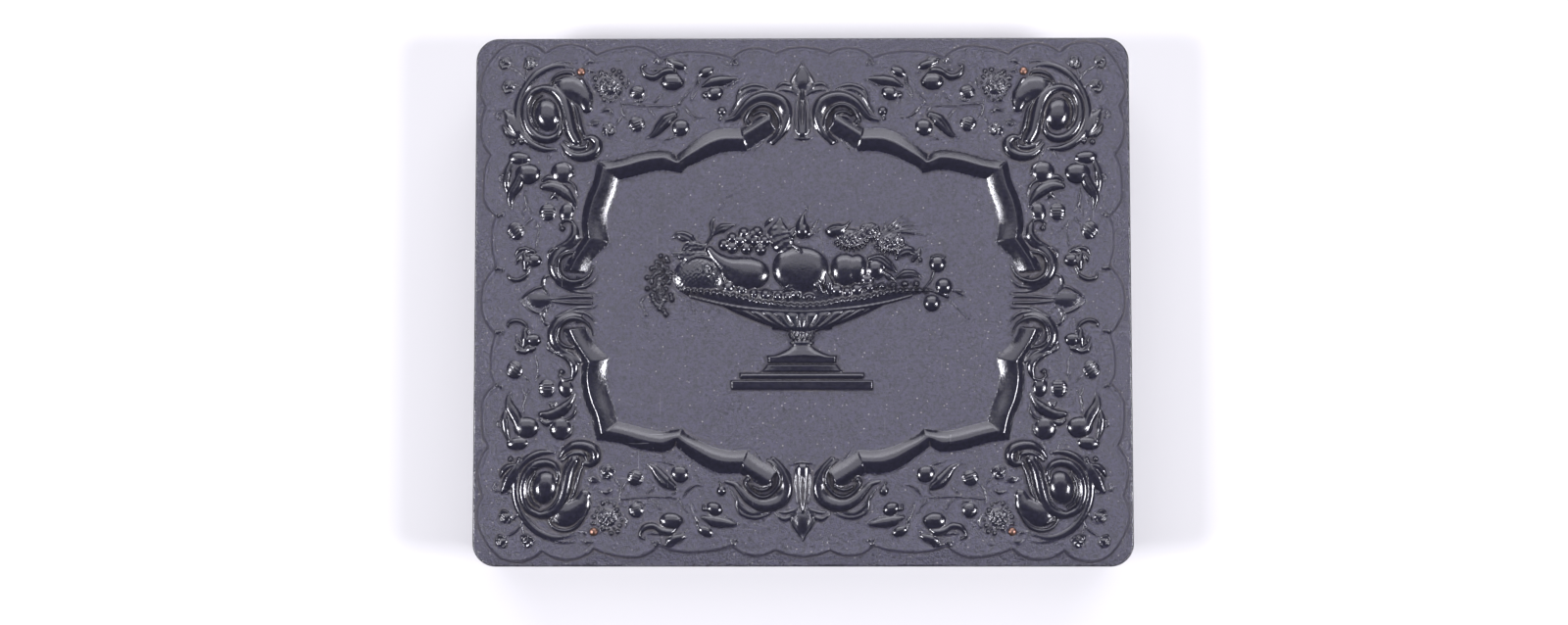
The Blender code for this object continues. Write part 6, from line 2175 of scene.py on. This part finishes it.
@dataclass
class Lining:
    """The lid's lining: a card board and a stuffed velvet pad with a pressed pattern; sizes in mm."""

    cell: float = 1.4
    inset: float = 5.9
    pull: float = 0.009
    swell: float = 0.6
    frames: int = 20
    pressure: float = 4.0
    back: float = 20.1
    face: float = 18.4
    layers: tuple[Point, ...] = ((0.985, 0), (1.0, 0.25), (1.0, 1.3), (0.99, 1.9), (0.96, 2.4))
    channel_depth: float = 0.75
    pattern_depth: float = 0.55

    def blank(self) -> bpy.types.Object:
        """Cuts the pad's unstuffed form: the pad's outline drawn in a little between its corners.

        Returns:
            A closed slab, slightly thinner than the finished pad.
        """
        outline = rounded_outline(self.inset, 10)
        share = np.abs(outline) / (HALF - self.inset)
        outline = outline * (1 - self.pull * (1 - share[:, ::-1] ** 4) * share ** 3)
        return capped("lid_pad", [at_height(outline * size, self.back - down) for size, down in self.layers])

    def stuff(self, pad: bpy.types.Object) -> None:
        """Blows the pad up with a cloth simulation, and keeps every point within the swell of where it was.

        Args:
            pad: the pad, remeshed evenly.
        """
        before = places(pad)
        held = pad.vertex_groups.new(name="board")
        held.add(np.flatnonzero(before[:, 2] > (self.back - 0.3) * MM).tolist(), 1.0, "REPLACE")
        cloth = pad.modifiers.new("Stuffing", "CLOTH")
        settings = cloth.settings
        settings.use_pressure, settings.uniform_pressure_force = True, self.pressure
        settings.effector_weights.gravity = 0
        settings.vertex_group_mass = "board"
        settings.quality = 4
        cloth.collision_settings.use_collision = False
        scene = bpy.context.scene
        cloth.point_cache.frame_start, cloth.point_cache.frame_end = 1, self.frames
        for number in range(1, self.frames + 1):
            scene.frame_set(number)
        move = places(pad.evaluated_get(bpy.context.evaluated_depsgraph_get())) - before
        length = np.linalg.norm(move, axis=1, keepdims=True)
        move *= np.minimum(1, self.swell * MM / np.maximum(length, 1e-9))
        pad.modifiers.remove(cloth)
        pad.data.vertices.foreach_set("co", (before + move).ravel())
        scene.frame_set(1)
        log.info("pad: stuffed, largest move %.2f mm", float(length.max() / MM))

    def press(self, pad: bpy.types.Object) -> None:
        """Presses the channel and the pattern into the pad's face.

        The channel follows the outline at 0.8 of the half sizes. Inside it lie an oval ring, twelve scallops
        from the sine of six times the angle, and a flower of six petals from the cosine of three times the
        angle; where the pile is pressed, "pressed" is 1.

        Args:
            pad: the stuffed pad.
        """
        points = places(pad)
        x, y = points[:, 0] / MM, points[:, 1] / MM
        half = HALF - 6
        square = np.maximum(np.abs(x) / half[0], np.abs(y) / half[1])
        oval = np.hypot(x / half[0], y / half[1])
        turn = np.arctan2(y / half[1], x / half[0])
        channel = bead((square - 0.8) * half.mean(), 1.3)
        ring = bead((oval - 0.70) * half.mean(), 0.9)
        scallop = bead((oval - 0.60 - 0.06 * np.abs(np.sin(6 * turn))) * half.mean(), 0.8)
        petal = bead((oval - 0.40 * np.abs(np.cos(3 * turn)) ** 0.5 - 0.05) * half.mean(), 0.8)
        vein = bead(folded(turn, np.pi / 3) * oval * half.mean(), 0.7) * (oval < 0.30)
        eye = bead(np.abs(oval - 0.07) * half.mean(), 0.8)
        corner = np.hypot(np.abs(x) - 0.66 * half[0], np.abs(y) - 0.64 * half[1])
        fan = bead(corner - 5.0, 0.8) + bead(corner - 2.2, 0.7)
        pattern = np.clip(ring + scallop + petal + vein + eye + fan * (square < 0.78), 0, 1)
        face = np.clip((self.face - points[:, 2] / MM) / 0.5, 0, 1)
        points[:, 2] += (self.channel_depth * channel + self.pattern_depth * pattern) * face * MM
        pad.data.vertices.foreach_set("co", points.ravel())
        note(pad, pressed=np.maximum(channel, pattern) * face)
        pad.data.update()

    def build(self) -> None:
        """Builds and dresses the lining."""
        clothe("pad_board", Card())
        pad = self.blank()
        applied(pad, "REMESH", mode="VOXEL", voxel_size=self.cell * MM, use_smooth_shade=True)
        self.stuff(pad)
        applied(pad, "SUBSURF", levels=1, render_levels=1)
        self.press(pad)
        dress(pad, Velvet(), "lid", "pad_velvet", "velvet_pad")


@dataclass
class Studio:
    """Pale floor, soft lamps and the camera at the photograph's angle; places in metres, power in watts."""

    lens: float = 43.9
    sensor: float = 36
    seen: Point = (0.01, 20)
    floor: float = 3
    place: tuple[float, float, float] = (-0.0008, -0.0287, 0.4787)
    turn: tuple[float, float, float] = (3.24, 0.456, -0.04)
    room: float = 0.05
    lamps: float = 6.9
    window: float = 10.5
    ceiling: float = 4.35
    light: Colour = (0.94, 0.93, 1.0)
    air: Colour = (0.9, 0.92, 1.0)
    paper: Colour = (0.60, 0.595, 0.60)
    glow: Colour = (0.08, 0.08, 0.085)

    def lamp(self, name: str, at: Sequence[float], size: Point, power: float,
             aim: Sequence[float] = (0, 0, 0.02)) -> None:
        """Hangs a soft lamp.

        Args:
            name: its name.
            at: its place, metres.
            size: its width and depth, metres.
            power: watts.
            aim: the point that it looks at.
        """
        light = bpy.data.lights.new(name, "AREA")
        light.color = self.light
        light.shape, light.size, light.size_y, light.energy = "RECTANGLE", size[0], size[1], power
        made = bpy.data.objects.new(name, light)
        made.location = at
        made.rotation_euler = (Vector(aim) - Vector(at)).to_track_quat("-Z", "Y").to_euler()
        bpy.context.scene.collection.objects.link(made)

    def build(self) -> None:
        """Sets floor, lamps, world and camera."""
        scene = bpy.context.scene
        scene.view_settings.view_transform = "Standard"
        u, v = np.meshgrid(*[np.linspace(-self.floor, self.floor, 3)] * 2)
        floor = piece("floor", np.stack((u, v, np.zeros_like(u)), -1), quads(3, 3))
        t = Tree("backdrop")
        path = t.nodes.new("ShaderNodeLightPath")
        rays = ("Is Camera Ray", "Is Glossy Ray", "Is Transmission Ray")
        seen, glossy, through = (Wire(t, path.outputs[ray]) for ray in rays)
        seen = seen.maths("MAXIMUM", glossy).maths("MAXIMUM", through).blend((0, 0, 0), self.glow)
        floor.data.materials.append(t.finish(Base_Color=self.paper, Roughness=0.9, Emission_Color=seen,
                                             Emission_Strength=1.0, Specular_IOR_Level=0.1))
        for label, way in SIDES:
            self.lamp(f"lamp_{label}", (way * 0.60, -0.12, 0.62), (0.20, 0.20), self.lamps)
        self.lamp("lamp_back", (0, 1.05, 0.72), (1.7, 0.75), self.window)
        self.lamp("lamp_top", (0, 0.50, 0.80), (1.1, 0.80), self.ceiling, (0, 0.1, 0))
        world = bpy.data.worlds.new("room")
        scene.world = world
        world.use_nodes = True
        background = world.node_tree.nodes["Background"]
        background.inputs["Color"].default_value = (*self.air, 1)
        background.inputs["Strength"].default_value = self.room
        camera = bpy.data.cameras.new("camera")
        camera.lens, camera.sensor_width = self.lens, self.sensor
        camera.clip_start, camera.clip_end = self.seen
        made = bpy.data.objects.new("camera", camera)
        made.location = self.place
        made.rotation_euler = [np.radians(a) for a in self.turn]
        scene.collection.objects.link(made)
        scene.camera = made


def main() -> None:
    """Builds every sub-assembly in order."""
    logging.basicConfig(level=logging.INFO, format="%(name)s: %(message)s")
    border = carve_border().mirrored()
    CarvedLid().build(border)
    Base().build(border)
    Hardware().build()
    PictureStack().build()
    Lining().build()
    Studio().build()


if __name__ == "__main__":
    main()
